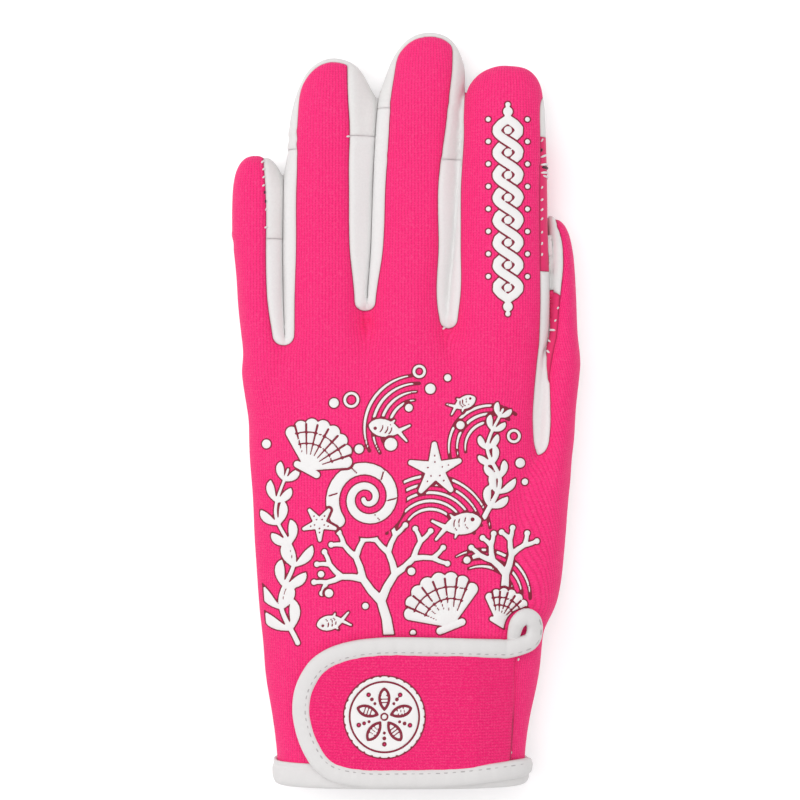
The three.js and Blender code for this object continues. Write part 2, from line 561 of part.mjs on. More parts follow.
// Rolled end of the binding where the strap leaves the cuff: a short tube that curls upwards
const LOOP_ROUTE = [
  { across: -4, along: -0.55 },
  { across: 1.2, along: -0.45 },
  { across: 4.4, along: 0.25 },
  { across: 5, along: 1.15 },
  { across: 3, along: 1.75 },
  { across: 0.6, along: 1.5 },
];
const loopPoints = LOOP_ROUTE.map(({ across, along }) => {
  const [x, y] = [STRAP_ROOT + across * 0.8, STRAP_HEIGHT + STRAP_HEM + along * LOOP_DIAMETER];
  return new THREE.Vector3(x, y, handTop(x, y, BINDING_GAP + LOOP_DIAMETER * 0.62));
});
const LOOP_SIDES = 8;
const loopSection = new THREE.Shape(
  Array.from({ length: LOOP_SIDES }, (_, k) => {
    const turn = (2 * Math.PI * k) / LOOP_SIDES;
    return new THREE.Vector2(Math.cos(turn), Math.sin(turn)).multiplyScalar(LOOP_DIAMETER / 2);
  }),
);
const loop = solid(
  new THREE.ExtrudeGeometry(loopSection, {
    steps: 12,
    bevelEnabled: false,
    extrudePath: new THREE.CatmullRomCurve3(loopPoints),
  }),
);
const strapBinding = largest(rim.add(loop.subtract(handSolid(-BINDING_GAP, -FAR))));

function nodeMesh(name, body, colour, roughness) {
  const data = body.getMesh();
  const geometry = new THREE.BufferGeometry();
  geometry.setAttribute("position", new THREE.BufferAttribute(new Float32Array(data.vertProperties), 3));
  geometry.setIndex(new THREE.BufferAttribute(new Uint32Array(data.triVerts), 1));
  const material = new THREE.MeshStandardMaterial({ color: colour, roughness, metalness: 0 });
  const mesh = new THREE.Mesh(geometry, material);
  mesh.name = name;
  return mesh;
}

const glove = new THREE.Group();
glove.add(nodeMesh("back_panel", largest(back), PINK, 0.85));
glove.add(nodeMesh("palm_panel", palm, WHITE, 0.75));
glove.add(nodeMesh("thumb_palm", thumbPalm, WHITE, 0.75));
for (const { name, body } of fourchettes) glove.add(nodeMesh(name, largest(body), WHITE, 0.75));
glove.add(nodeMesh("thumb_gusset", largest(gusset), WHITE, 0.75));
glove.add(nodeMesh("index_patch", largest(indexPatch), PINK, 0.8));
glove.add(nodeMesh("thumb_patch", largest(thumbPatch), PINK, 0.8));
glove.add(nodeMesh("strap", largest(strap), PINK, 0.85));
glove.add(nodeMesh("strap_binding", strapBinding, WHITE, 0.7));
glove.add(nodeMesh("hem_binding", largest(hemBinding), WHITE, 0.7));
glove.position.y = -alongHand(PALM_CENTRE);

export default glove;
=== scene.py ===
"""A pink left-hand diving glove that lies palm down, with white suede between its fingers.

The skin is one smooth surface round six tubes, the hand and its five fingers. It is cut along its seams
into panels, and each panel gets a wall and a cloth of its own. Strap, bindings, prints and stitches
lie on it. Lengths are in millimetres from the cuff's hem until a mesh is made.
"""

import math

import bpy
import numpy as np
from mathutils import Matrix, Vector
from mathutils.bvhtree import BVHTree
from mathutils.kdtree import KDTree


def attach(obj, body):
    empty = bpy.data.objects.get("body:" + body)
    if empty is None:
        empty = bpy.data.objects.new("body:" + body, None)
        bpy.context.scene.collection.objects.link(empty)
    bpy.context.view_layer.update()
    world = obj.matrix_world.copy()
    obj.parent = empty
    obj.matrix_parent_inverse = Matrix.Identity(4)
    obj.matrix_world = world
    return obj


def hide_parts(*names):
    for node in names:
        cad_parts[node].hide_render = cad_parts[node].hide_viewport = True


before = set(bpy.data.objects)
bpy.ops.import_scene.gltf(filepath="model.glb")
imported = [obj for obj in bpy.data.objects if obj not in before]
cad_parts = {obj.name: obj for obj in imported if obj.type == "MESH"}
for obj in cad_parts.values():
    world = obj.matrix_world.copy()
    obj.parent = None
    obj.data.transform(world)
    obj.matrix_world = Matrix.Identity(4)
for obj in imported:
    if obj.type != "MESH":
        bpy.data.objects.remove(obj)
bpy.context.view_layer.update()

MM = 0.001
HAND_LENGTH = 138.0  # hem to the web beside the little finger
PALM_WIDTH = 96.0
HAND_THICKNESS = 25.0
HEM_Y = -0.6 * HAND_LENGTH  # the hem's place in the frame, whose origin is the palm's centre
NEOPRENE = 1.8
SUEDE = 1.2
CELL = 0.86  # size of the skin's mesh


def table(columns, text):
    """Rows of numbers under named columns, as one array for each column."""
    rows = np.array([[float(x) for x in line.split()] for line in text.strip().splitlines()])
    return dict(zip(columns.split(), rows.T))


def smoothstep(low, high, x):
    t = np.clip((np.asarray(x, float) - low) / (high - low), 0, 1)
    return t * t * (3 - 2 * t)


def unit(v):
    """Vectors along the last axis, brought to length 1."""
    return v / np.maximum(np.linalg.norm(v, axis=-1, keepdims=True), 1e-9)


def curve_through(xs, ys):
    """A monotone cubic through points, as a function that holds its end values."""
    xs, ys = np.asarray(xs, float), np.asarray(ys, float)
    step, rise = np.diff(xs), np.diff(ys) / np.diff(xs)
    slope = np.zeros(len(xs))
    slope[0], slope[-1] = rise[0], rise[-1]
    w1, w2 = 2 * step[1:] + step[:-1], step[1:] + 2 * step[:-1]
    same = rise[:-1] * rise[1:] > 0
    safe = np.where(same[:, None], np.stack([rise[:-1], rise[1:]], 1), 1.0)
    slope[1:-1] = np.where(same, (w1 + w2) / (w1 / safe[:, 0] + w2 / safe[:, 1]), 0.0)

    def at(x):
        x = np.clip(x, xs[0], xs[-1])
        k = np.clip(np.searchsorted(xs, x) - 1, 0, len(xs) - 2)
        t, h = (x - xs[k]) / step[k], step[k]
        ends = ys[k] * (1 + 2 * t) * (1 - t) ** 2 + ys[k + 1] * t * t * (3 - 2 * t)
        return ends + h * (slope[k] * t * (1 - t) ** 2 - slope[k + 1] * t * t * (1 - t))

    return at


# ---------------------------------------------------------------- the tubes that the skin goes round

# Sections of the hand, from hem to web: shares of the hand's length, width and thickness
HAND_ROWS = table("along left right thick lift", """
0     -.42  .393 .94 .09
.06   -.426 .4   .94 .085
.15   -.443 .42  .93 .015
.27   -.467 .452 .92 0
.39   -.485 .464 .96 0
.58   -.503 .465 1   0
.76   -.519 .456 .96 0
.86   -.525 .45  .88 0
.95   -.533 .45  .76 0
1.03  -.53  .44  .66 0
""")

# Sections of each finger, from its root: along is a share of its length, shift and width of its width,
# thick and lift of its thickness. little and thumb are where the pink back ends on the sides towards
# those fingers, as shares of the half width.
FINGER_COLUMNS = "along shift width thick lift little thumb"
FINGERS = {
    "little": dict(length=88, width=16.4, thickness=16.5, centre=-0.484, cap=0.84, round=2.5, rows="""
        0    .46  1.1  .95 0   -1.3 .5
        .3   .08  .86  1   0   -1.3 .5
        .5  -.02  .88  1   0   -1.3 .39
        .72 -.065 .96  1   0   -1.3 .42
        .865 -.065 .995 .94 .03 -1.3 .38
        1    -.07 .98  .9  .1  -1.3 .28"""),
    "ring": dict(length=119.1, width=28, thickness=17.5, centre=-0.26, cap=0.80, round=2.3, rows="""
        0    0    .93  .95 0   -.8  .5
        .15 -.02  1.1  1   0   -.8  .5
        .22  0    .985 1   0   -.78 .7
        .32 -.01  .955 1   0   -.77 .7
        .49  0    .99  1   0   -.73 .54
        .68  .015 1.005 1  0   -.73 .48
        .8   .055 .98  .96 .02 -.83 .43
        .91  .075 .96  .9  .06 -.86 .35
        1    .08  .95  .86 .1  -.86 .33"""),
    "middle": dict(length=127.5, width=27.6, thickness=18, centre=0.02, cap=0.83, round=2.3, rows="""
        0    0    .87  .95 0   -.8  .7
        .14 -.03  1.09 1   0   -.8  .7
        .25 -.035 .97  1   0   -.86 .8
        .31 -.04  .95  1   0   -.8  .75
        .46  .02  .957 1   0   -.73 .64
        .61  .058 .986 1   0   -.73 .54
        .75  .092 .99  .97 .02 -.72 .64
        .83  .127 .957 .92 .04 -.77 .67
        .9   .174 .95  .86 .07 -.79 .66
        1    .222 .94  .82 .12 -.79 .6"""),
    "index": dict(length=116.2, width=29, thickness=16.5, centre=0.323, cap=0.86, round=2.7, rows="""
        0   -.07  .9   .95 0   -.9   .9
        .155 -.08 1.13 1   0   -.84  .9
        .275 -.04 1.12 1   .16 -.84  .84
        .38 -.011 1.07 1   .27 -.865 .82
        .5   .003 1.014 1  .3  -.93  .84
        .67  .024 .959 1   .3  -1.0  .84
        .82  .037 .90  .96 .31 -1.02 .87
        .905 .038 .873 .9  .33 -1.1  .94
        .94  .046 .866 .88 .34 -1.3  1.1
        1    .068 .86  .86 .36 -1.5  1.5"""),
    "thumb": dict(length=136.2, width=11.4, thickness=17, centre=0.51, cap=0.88, round=2.3, rows="""
        0   -1.14 1.5  1.05 0  -.9  1.3
        .074 -.947 1.754 1.1 0 -.9  1.3
        .167 -.825 1.93 1.16 0 -.9  1.3
        .354 -.5  1.67 1.14 0  -.9  1.3
        .45 -.14  1.12 1.05 0  -.9  1.3
        .546 -.02 1.12 .97 0   -.62 1.3
        .635 .08  1.13 .95 0   -.66 1.3
        .73  .178 .81  .88 0   -.57 1.3
        .79  .163 .77  .86 0   -.37 1.3
        .827 .15  .75  .84 0   -.19 1.3
        .893 .115 .735 .82 .01 .10  1.3
        .94  .066 .71  .8  .03 .16  1.3
        .97  .0   .71  .79 .05 .05  1.3
        1   -.14  .71  .78 .06 0    1.3"""),
}
FINGER_ROOT = 0.81 * HAND_LENGTH
THUMB_ROOT = 0.32 * HAND_LENGTH
ROOT_CAP = 14.0  # rounded start of a finger, inside the hand
HAND_ROUNDNESS = (2.7, 3.6)  # exponents above and below the widest line
FINGER_ROUNDNESS = (2.3, 3.0)
WIDEST = 0.44  # height of the widest line, as a share of the thickness
SOLE_FLAT = 0.6
SIDE_SEAM = 0.3  # height at which the white lower part begins
FAR_BELOW = -60.0  # the hand's tube goes on past the hem, where the skin is cut


class Tube:
    """A finger or the hand: its middle line, half width, height and rounded ends."""

    def __init__(self, y, centre, half, lift, thick, roundness, root, cap, tip, end_round):
        self.y0, self.cap, self.tip = root, cap, tip
        self.end_round, self.roundness = end_round, roundness
        self.centre, self.half = curve_through(y, centre), curve_through(y, half)
        self.lift, self.thick = curve_through(y, lift), curve_through(y, thick)

    def closing(self, y):
        """0 along the tube, 1 at its two ends."""
        at_tip = (y - self.cap) / (self.tip - self.cap)
        at_root = (self.y0 + ROOT_CAP - y) / ROOT_CAP
        return np.maximum(np.maximum(at_tip, at_root), 0)

    def middle(self, y):
        return self.lift(y) - SOLE_FLAT + self.thick(y) * WIDEST

    def reach(self, y):
        """Heights above and below the widest line."""
        return self.thick(y) * (1 - WIDEST) + SOLE_FLAT, self.thick(y) * WIDEST

    def distance(self, x, y, z):
        """Distance from the tube's surface, near enough, and negative inside."""
        half, (up, down) = self.half(y), self.reach(y)
        dz = z - self.middle(y)
        above = dz > 0
        p = np.where(above, *self.roundness)
        e, s = self.end_round, self.closing(y)
        across = np.maximum(np.abs(x - self.centre(y)) / half, 1e-3)
        rise = np.maximum(np.where(above, dz / up, -dz / down), 1e-3)
        round_ = (across**p + rise**p) ** (1 / p)
        whole = (round_**e + s**e) ** (1 / e)
        share = (round_ / whole) ** (e - 1)
        gx = share * (across / round_) ** (p - 1) / half
        gz = share * (rise / round_) ** (p - 1) / np.where(above, up, down)
        gy = (s / whole) ** (e - 1) / np.where(y > self.cap, self.tip - self.cap, ROOT_CAP)
        return (whole - 1) / np.sqrt(gx**2 + gy**2 + gz**2)

    def height(self, x, y, out=0.0):
        """Height of the upper surface above a place, out by some distance."""
        half, (up, _) = self.half(y) + out, self.reach(y)
        share = np.minimum(0.995, np.abs(x - self.centre(y)) / half)
        p = self.roundness[0]
        return self.middle(y) + (up + out) * (1 - share**p) ** (1 / p)


def hand_tube():
    rows = HAND_ROWS
    y = rows["along"] * HAND_LENGTH
    left, right = rows["left"] * PALM_WIDTH, rows["right"] * PALM_WIDTH
    lift, thick = rows["lift"] * HAND_THICKNESS, rows["thick"] * HAND_THICKNESS
    ends = dict(root=FAR_BELOW, cap=0.93 * HAND_LENGTH, tip=1.03 * HAND_LENGTH, end_round=2.2)
    return Tube(y, (left + right) / 2, (right - left) / 2, lift, thick, HAND_ROUNDNESS, **ends)


def finger_tube(name, finger):
    rows = finger["rows"] = table(FINGER_COLUMNS, finger["rows"])
    root = THUMB_ROOT if name == "thumb" else FINGER_ROOT
    y = root + rows["along"] * finger["length"]
    centre = finger["centre"] * PALM_WIDTH + rows["shift"] * finger["width"]
    half = rows["width"] * finger["width"] / 2
    lift, thick = rows["lift"] * finger["thickness"], rows["thick"] * finger["thickness"]
    cap, tip = root + finger["cap"] * finger["length"], root + finger["length"]
    tube = Tube(y, centre, half, lift, thick, FINGER_ROUNDNESS, root, cap, tip, finger["round"])
    tube.little, tube.thumb = curve_through(y, rows["little"]), curve_through(y, rows["thumb"])
    return tube


hand = hand_tube()
tubes = {name: finger_tube(name, finger) for name, finger in FINGERS.items()}
tube_list = [hand, *tubes.values()]


def smooth_min(a, b, k):
    share = np.maximum(k - np.abs(a - b), 0) / k
    return np.minimum(a, b) - share * share * k / 4


STRIP_ROUND = 3.0
# Rounded foot of each white strip, and the heights of its cross seams on the left and right finger
STRIPS = {
    ("little", "ring"): dict(foot=1.004, left_top=0.69, right_top=0.752),
    ("ring", "middle"): dict(foot=1.083, left_top=0.786, right_top=0.805),
    ("middle", "index"): dict(foot=1.043, left_top=0.675, right_top=0.725),
}

LITTLE_RING, RING_MIDDLE, MIDDLE_INDEX = STRIPS
INDEX_THUMB = ("index", "thumb")
# Place of the web between neighbours, and how softly they join below it
WEBS = {LITTLE_RING: 141.0, RING_MIDDLE: 153.0, MIDDLE_INDEX: 148.0, INDEX_THUMB: 138.0}
WEB_SOFT = 2.5
KNUCKLE_SOFT = 5.5
HARD = 0.01
# How far neighbours swell towards each other above the web, and over what distance from their gap
TOUCH = {LITTLE_RING: 1.35, RING_MIDDLE: 1.35, MIDDLE_INDEX: 0.8, INDEX_THUMB: 0.4}
TOUCH_REACH = 3.0
OPEN_GAP, SHUT_GAP = 3.2, 1.2  # widths at which a gap begins to close, and is closed
TIP_FADE = 14.0  # towards the fingertips the gaps stay open
SLIT = 0.05  # half of what is left open between two walls
CLOSED = MIDDLE_INDEX  # these two are joined by a soft crease instead of a slit
CREASE_SOFT = 1.6
THUMB_FREE = (144, 150)  # between these heights the gap's line goes over to the index finger's edge


def gap_line(left, right):
    """Middle of the gap between two neighbouring fingers, as a function of y."""
    a, b = tubes[left], tubes[right]

    def line(y):
        edge = a.centre(y) + a.half(y)
        middle = (edge + b.centre(y) - b.half(y)) / 2
        past = smoothstep(*THUMB_FREE, y) if right == "thumb" else 0.0
        return middle + past * np.maximum(edge + 0.05 - middle, 0)

    return line


gap_lines = {pair: gap_line(*pair) for pair in WEBS}


def web_soft(pair, y):
    web, least = WEBS[pair], CREASE_SOFT if pair == CLOSED else HARD
    return least + (WEB_SOFT - least) * (1 - smoothstep(web - 6, web + 1, y))


def pressed(d, x, y):
    """Closes the gaps between fingers that lie side by side, down to a hairline or a crease."""
    for pair, web in WEBS.items():
        left, right = (tubes[name] for name in pair)
        away = x - gap_lines[pair](y)
        width = right.centre(y) - right.half(y) - left.centre(y) - left.half(y)
        close = smoothstep(OPEN_GAP, SHUT_GAP, width) * smoothstep(web - 8, web, y)
        close = close * smoothstep(0, TIP_FADE, left.tip - y) * smoothstep(0, TIP_FADE, right.tip - y)
        d = d - TOUCH[pair] * close * np.exp(-((away / TOUCH_REACH) ** 2))
        beside = (y > web) & (y < min(left.tip, right.tip)) & (pair != CLOSED)
        d = np.maximum(d, np.where(beside, SLIT - np.abs(away), -9.0))
    return d


# How softly the thumb joins the hand, by height
THUMB_SOFT = ([60, 90, 122, 139], [3.5, 3.0, 2.2, HARD])


def skin_distance(x, y, z):
    d = {name: tube.distance(x, y, z) for name, tube in tubes.items()}
    joined = d["little"]
    for pair in STRIPS:
        joined = smooth_min(joined, d[pair[1]], web_soft(pair, y))
    joined = smooth_min(joined, hand.distance(x, y, z), KNUCKLE_SOFT)
    thumb_soft = np.interp(y, *THUMB_SOFT)
    joined = pressed(smooth_min(joined, d["thumb"], thumb_soft), x, y)
    return -smooth_min(-joined, z, 1.0)  # flat where it lies on the ground


# ---------------------------------------------------------------- the mesh of the skin

GAP_ROOM = 3.5  # how far the grid is pulled apart at a gap between fingers, so that both walls are met
GAP_SLIT = 0.3


def narrowed(x, y):
    """Takes a place on the widened grid back to the glove."""
    result, before = x.copy(), np.zeros_like(y)
    for pair, web in WEBS.items():
        top = min(tubes[name].tip for name in pair)
        room = GAP_ROOM * smoothstep(web - 4, web + 4, y) * smoothstep(top + 9, top + 1, y)
        start = gap_lines[pair](y) - GAP_SLIT / 2 + before
        result -= room * np.clip((x - start) / (GAP_SLIT + room), 0, 1)
        before = before + room
    return result


def surface_net(values):
    """Vertices, in steps of the grid, and quads of the surface where values cross zero."""
    inside = values < 0
    corners = [(i, j, k) for i in (0, 1) for j in (0, 1) for k in (0, 1)]
    shape = tuple(n - 1 for n in values.shape)

    def corner(array, c):
        return array[tuple(slice(o, o + n) for o, n in zip(c, shape))]

    count = sum(corner(inside, c).astype(np.int8) for c in corners)
    cells = np.argwhere((count > 0) & (count < 8))
    place, met = np.zeros((len(cells), 3)), np.zeros(len(cells))
    for axis in range(3):
        for c in corners:
            if c[axis]:
                continue
            a = cells + np.array(c)
            b = a.copy()
            b[:, axis] += 1
            va, vb = values[tuple(a.T)], values[tuple(b.T)]
            crosses = (va < 0) != (vb < 0)
            t = np.where(crosses, va / np.where(crosses, va - vb, 1), 0)
            point = a.astype(float)
            point[:, axis] += t
            place += point * crosses[:, None]
            met += crosses
    number = np.full(shape, -1)
    number[tuple(cells.T)] = np.arange(len(cells))
    quads = []
    for axis in range(3):
        u, v = (axis + 1) % 3, (axis + 2) % 3
        low = [slice(None)] * 3
        high = [slice(None)] * 3
        low[axis], high[axis] = slice(0, -1), slice(1, None)
        change = inside[tuple(low)] != inside[tuple(high)]
        at = np.argwhere(change)
        at = at[(at[:, u] > 0) & (at[:, v] > 0) & (at[:, u] < shape[u]) & (at[:, v] < shape[v])]
        ring = []
        for du, dv in ((0, 0), (1, 0), (1, 1), (0, 1)):
            cell = at.copy()
            cell[:, u] -= du
            cell[:, v] -= dv
            ring.append(number[tuple(cell.T)])
        ring = np.stack(ring, 1)
        outwards = inside[tuple(at.T)]
        quads.append(np.where(outwards[:, None], ring, ring[:, ::-1]))
    return place / met[:, None], np.concatenate(quads)


def gradient(function, p, step=0.04):
    columns = []
    for axis in range(3):
        d = np.zeros(3)
        d[axis] = step
        columns.append((function(*(p + d).T) - function(*(p - d).T)) / (2 * step))
    return np.stack(columns, 1)


def relaxed(points, faces, times, share=0.5):
    """Points moved towards the middle of their neighbours."""
    a = np.concatenate([faces, faces[:, [1, 2, 0]]]).reshape(-1)
    b = np.concatenate([faces[:, [1, 2, 0]], faces]).reshape(-1)
    number = np.bincount(a, minlength=len(points))[:, None]
    for _ in range(times):
        total = np.stack([np.bincount(a, points[b, k], len(points)) for k in range(3)], 1)
        points = points + share * (total / number - points)
    return points


def skin_mesh():
    """The whole outer surface as triangles."""
    spread = GAP_ROOM * len(WEBS)
    low, high = np.array([-62.0, -4.0, -2.4]), np.array([62.0 + spread, 243.0, 34.0])
    x, y, z = (np.arange(a, b, CELL) for a, b in zip(low, high))
    real_x = narrowed(np.repeat(x[:, None], len(y), 1), y[None, :])
    values = skin_distance(real_x[:, :, None], y[None, :, None], z[None, None, :])
    points, quads = surface_net(values)
    points = low + points * CELL
    faces = np.concatenate([quads[:, :3], quads[:, [0, 2, 3]]])
    points = relaxed(points, faces, 2)
    points[:, 0] = narrowed(points[:, 0], points[:, 1])
    for _ in range(3):
        slope = gradient(skin_distance, points)
        steepness = np.maximum((slope**2).sum(1), 0.25)
        points -= (np.clip(skin_distance(*points.T), -0.6, 0.6) / steepness)[:, None] * slope
    points[:, 2] = np.maximum(points[:, 2], 0)
    return points, faces


def edges_of(faces):
    """Every edge once, as a pair of vertices, and the number of each face's three edges."""
    pairs = np.sort(np.concatenate([faces[:, [0, 1]], faces[:, [1, 2]], faces[:, [2, 0]]]), 1)
    base = faces.max() + 1
    keys, of_face = np.unique(pairs[:, 0] * base + pairs[:, 1], return_inverse=True)
    return np.stack([keys // base, keys % base], 1), of_face.reshape(3, -1).T


class Skin:
    """Triangles that are cut along curves. flags[name] says for each face on which side of a cut it is."""

    def __init__(self, points, faces):
        self.points, self.faces, self.flags = points, faces, {}
        self.kept = np.zeros(len(points), bool)  # vertices on a cut stay where they are

    def cut(self, name, function, where=None):
        """Splits the faces where function(points) changes sign; where is a test of the faces' middles."""
        value = function(self.points)
        faces = self.faces
        middles = self.points[faces].mean(1)
        chosen = np.ones(len(faces), bool) if where is None else where(middles)
        edges, of_face = edges_of(faces)
        used = np.zeros(len(edges), bool)
        used[of_face[chosen]] = True
        value = self._snap(value, edges[used])
        a, b = edges.T
        split = used & (value[a] * value[b] < 0)
        t = value[a[split]] / (value[a[split]] - value[b[split]])
        fresh = self.points[a[split]] * (1 - t)[:, None] + self.points[b[split]] * t[:, None]
        number = np.full(len(edges), -1)
        number[split] = len(self.points) + np.arange(split.sum())
        self.points = np.concatenate([self.points, fresh])
        value = np.concatenate([value, np.zeros(len(fresh))])
        self.kept = np.concatenate([self.kept, np.ones(len(fresh), bool)])
        self.kept[np.unique(edges[used])] |= value[np.unique(edges[used])] == 0
        self._subdivide(number[of_face])
        total = value[self.faces].sum(1)
        self.flags[name] = total > 0

    def _snap(self, value, edges, near=0.22):
        """Moves free vertices that a cut passes closely onto it."""
        a, b = edges.T
        crosses = value[a] * value[b] < 0
        a, b = a[crosses], b[crosses]
        t = value[a] / (value[a] - value[b])
        ends = np.concatenate([a, b])
        others = np.concatenate([b, a])
        share = np.concatenate([t, 1 - t])
        ok = (share < near) & ~self.kept[ends]
        ends, others, share = ends[ok], others[ok], share[ok]
        order = np.argsort(-share, kind="stable")  # the closest crossing is written last
        ends, others, share = ends[order], others[order], share[order]
        moved = self.points[ends] * (1 - share)[:, None] + self.points[others] * share[:, None]
        self.points[ends] = moved
        value = value.copy()
        value[ends] = 0
        return value

    def _subdivide(self, mid):
        """mid holds for each face the new vertex on each edge, or -1."""
        faces = self.faces
        count = (mid >= 0).sum(1)
        made, parents = [faces[count == 0]], [np.flatnonzero(count == 0)]
        for turn in range(3):
            f, m = np.roll(faces, -turn, 1), np.roll(mid, -turn, 1)
            one = np.flatnonzero((count == 1) & (m[:, 0] >= 0))
            (a, b, c), n = f[one].T, m[one, 0]
            made += [np.stack([a, n, c], 1), np.stack([n, b, c], 1)]
            parents += [one, one]
            two = np.flatnonzero((count == 2) & (m[:, 1] < 0))
            (a, b, c), n, k = f[two].T, m[two, 0], m[two, 2]
            made += [np.stack([a, n, k], 1), np.stack([n, b, c], 1), np.stack([n, c, k], 1)]
            parents += [two, two, two]
        three = np.flatnonzero(count == 3)
        (a, b, c), (n, k, j) = faces[three].T, mid[three].T
        made += [np.stack(t, 1) for t in ((a, n, j), (n, b, k), (j, k, c), (n, k, j))]
        parents += [three] * 4
        parent = np.concatenate(parents)
        self.faces = np.concatenate(made)
        self.flags = {name: flag[parent] for name, flag in self.flags.items()}

    def keep(self, chosen):
        self.faces = self.faces[chosen]
        self.flags = {name: flag[chosen] for name, flag in self.flags.items()}


# ---------------------------------------------------------------- where the seams run

TIP_WRAP = 1.0  # white margin at the tip of the ring and middle finger
GUSSET_ROWS = table("along left right", """
.75   .4415 .4445
.757  .438 .460
.785  .431 .4765
.83   .43  .481
.9    .434 .4785
.93   .438 .4775
.96   .443 .482
""")
# Cross seams on the thumb and the index finger, as shares of their lengths
THUMB_SEAMS = dict(gusset=0.60, patch=0.822)
PATCH_SLANT = 0.52  # the thumb patch's upper edge falls towards the thumb's outside
PATCH_TOP_X = 46.5
# Left edge of the thumb patch's pointed foot: heights, and places across
PATCH_WEDGE = ([125.8, 127.4, 132.2, 137.5, 141.0, 144.5], [46.2, 45.35, 44.95, 45.1, 45.3, 40.0])
INDEX_SEAMS = dict(gusset=0.432, patch=0.802)
THUMB_PATCH_FOOT = 0.14
THUMB_WEB = 0.775 * HAND_LENGTH
INDEX_PATCH_INNER = 0.25 * PALM_WIDTH


def root_of(name):
    return THUMB_ROOT if name == "thumb" else FINGER_ROOT


def along(name, share):
    return root_of(name) + share * FINGERS[name]["length"]


def seam_x(name, side, y):
    """The edge of the pink back on one side of a finger: a cut along the finger, and a margin at its tip."""
    tube, share = tubes[name], getattr(tubes[name], side)(y)
    cut = np.abs(share) * tube.half(y)
    if name in ("ring", "middle"):
        close = np.maximum((y - tube.cap) / (tube.tip - TIP_WRAP - tube.cap), 0)
        left_over = (1 - np.minimum(close, 1) ** tube.end_round) ** (1 / tube.end_round)
        cut = smooth_min(cut, (tube.half(y) - 0.3) * left_over, 1.2)
    outwards = 1 if side == "thumb" else -1
    return tube.centre(y) + outwards * np.where(share * outwards > 0, cut, -cut)


def weights(p, soft=1.2):
    """Share of each tube, the hand first, in the skin at some points."""
    d = np.stack([tube.distance(*p.T) for tube in tube_list], 1)
    w = np.exp(-np.clip(d - d.min(1)[:, None], 0, 40) / soft)
    return w / w.sum(1)[:, None]


def above_side_seam(p):
    seam = np.stack([tube.lift(p[:, 1]) + SIDE_SEAM * tube.thick(p[:, 1]) for tube in tube_list], 1)
    return p[:, 2] - (seam * weights(p)).sum(1)


def in_strip(pair):
    left, right = pair
    foot = STRIPS[pair]["foot"] * HAND_LENGTH
    start = foot + STRIP_ROUND

    def inside(p):
        x, y = p[:, 0], p[:, 1]
        at = np.maximum(y, start)
        gap = gap_lines[pair](at)
        a, b = np.minimum(seam_x(left, "thumb", at), gap), np.maximum(seam_x(right, "little", at), gap)
        middle, radius = (a + b) / 2, (b - a) / 2
        up = radius - np.abs(x - middle)
        r = np.hypot((x - middle) / radius, np.minimum(y - start, 0) / STRIP_ROUND)
        return np.where(y < start, (1 - r) * np.minimum(radius, STRIP_ROUND), up)

    return inside


def beyond_cross_seam(pair):
    left, right = pair
    tops = along(left, STRIPS[pair]["left_top"]), along(right, STRIPS[pair]["right_top"])

    def beyond(p):
        on_left = p[:, 0] < gap_lines[pair](p[:, 1])
        return p[:, 1] - np.where(on_left, *tops)

    return beyond


def gusset_edges():
    rows = GUSSET_ROWS
    y = rows["along"] * HAND_LENGTH
    left, right = rows["left"] * PALM_WIDTH, rows["right"] * PALM_WIDTH
    beyond = np.arange(141.0, 240.0, 3.0)
    left = curve_through([*y, *beyond], [*left, *seam_x("index", "thumb", beyond)])
    beyond = np.arange(138.0, 180.0, 3.0)
    right = curve_through([*y, *beyond], [*right, *seam_x("thumb", "little", beyond)])
    return left, right


gusset_left, gusset_right = gusset_edges()


def in_gusset(p):
    x, y = p[:, 0], p[:, 1]
    foot = GUSSET_ROWS["along"][0] * HAND_LENGTH
    a, b = gusset_left(y), gusset_right(y)
    return np.minimum((b - a) / 2 - np.abs(x - (a + b) / 2), (y - foot) * 0.7)


def on_thumb(p):
    """Positive where the thumb is nearer than the rest, or past its gap beside the index finger."""
    x, y = p[:, 0], p[:, 1]
    d = np.stack([tube.distance(*p.T) for tube in tube_list], 1)
    nearer = d[:, :5].min(1) - d[:, 5]
    past_gap = np.minimum(x - gap_lines[INDEX_THUMB](y), tubes["thumb"].tip + 0.3 - y)
    return nearer + smoothstep(143, 148, y) * (past_gap - nearer)


FINGERS_FROM = 130.0  # above this lies nothing but fingers


def between(pair):
    """Whether points lie between the middle lines of two fingers."""
    left, right = (tubes[name] for name in pair)
    return lambda p: (
        (p[:, 0] > left.centre(p[:, 1])) & (p[:, 0] < right.centre(p[:, 1])) & (p[:, 1] > FINGERS_FROM)
    )


def near_box(x0, x1, y0, y1):
    """Keeps a cut to one place: whether points lie in a box in plan."""
    return lambda p: (p[:, 0] > x0) & (p[:, 0] < x1) & (p[:, 1] > y0) & (p[:, 1] < y1)


def level(y, axis=1):
    return lambda p: p[:, axis] - y


def patch_top(p):
    return p[:, 1] - along("thumb", THUMB_SEAMS["patch"]) + PATCH_SLANT * (p[:, 0] - PATCH_TOP_X)


def patch_wedge(p):
    return p[:, 0] - np.interp(p[:, 1], *PATCH_WEDGE)


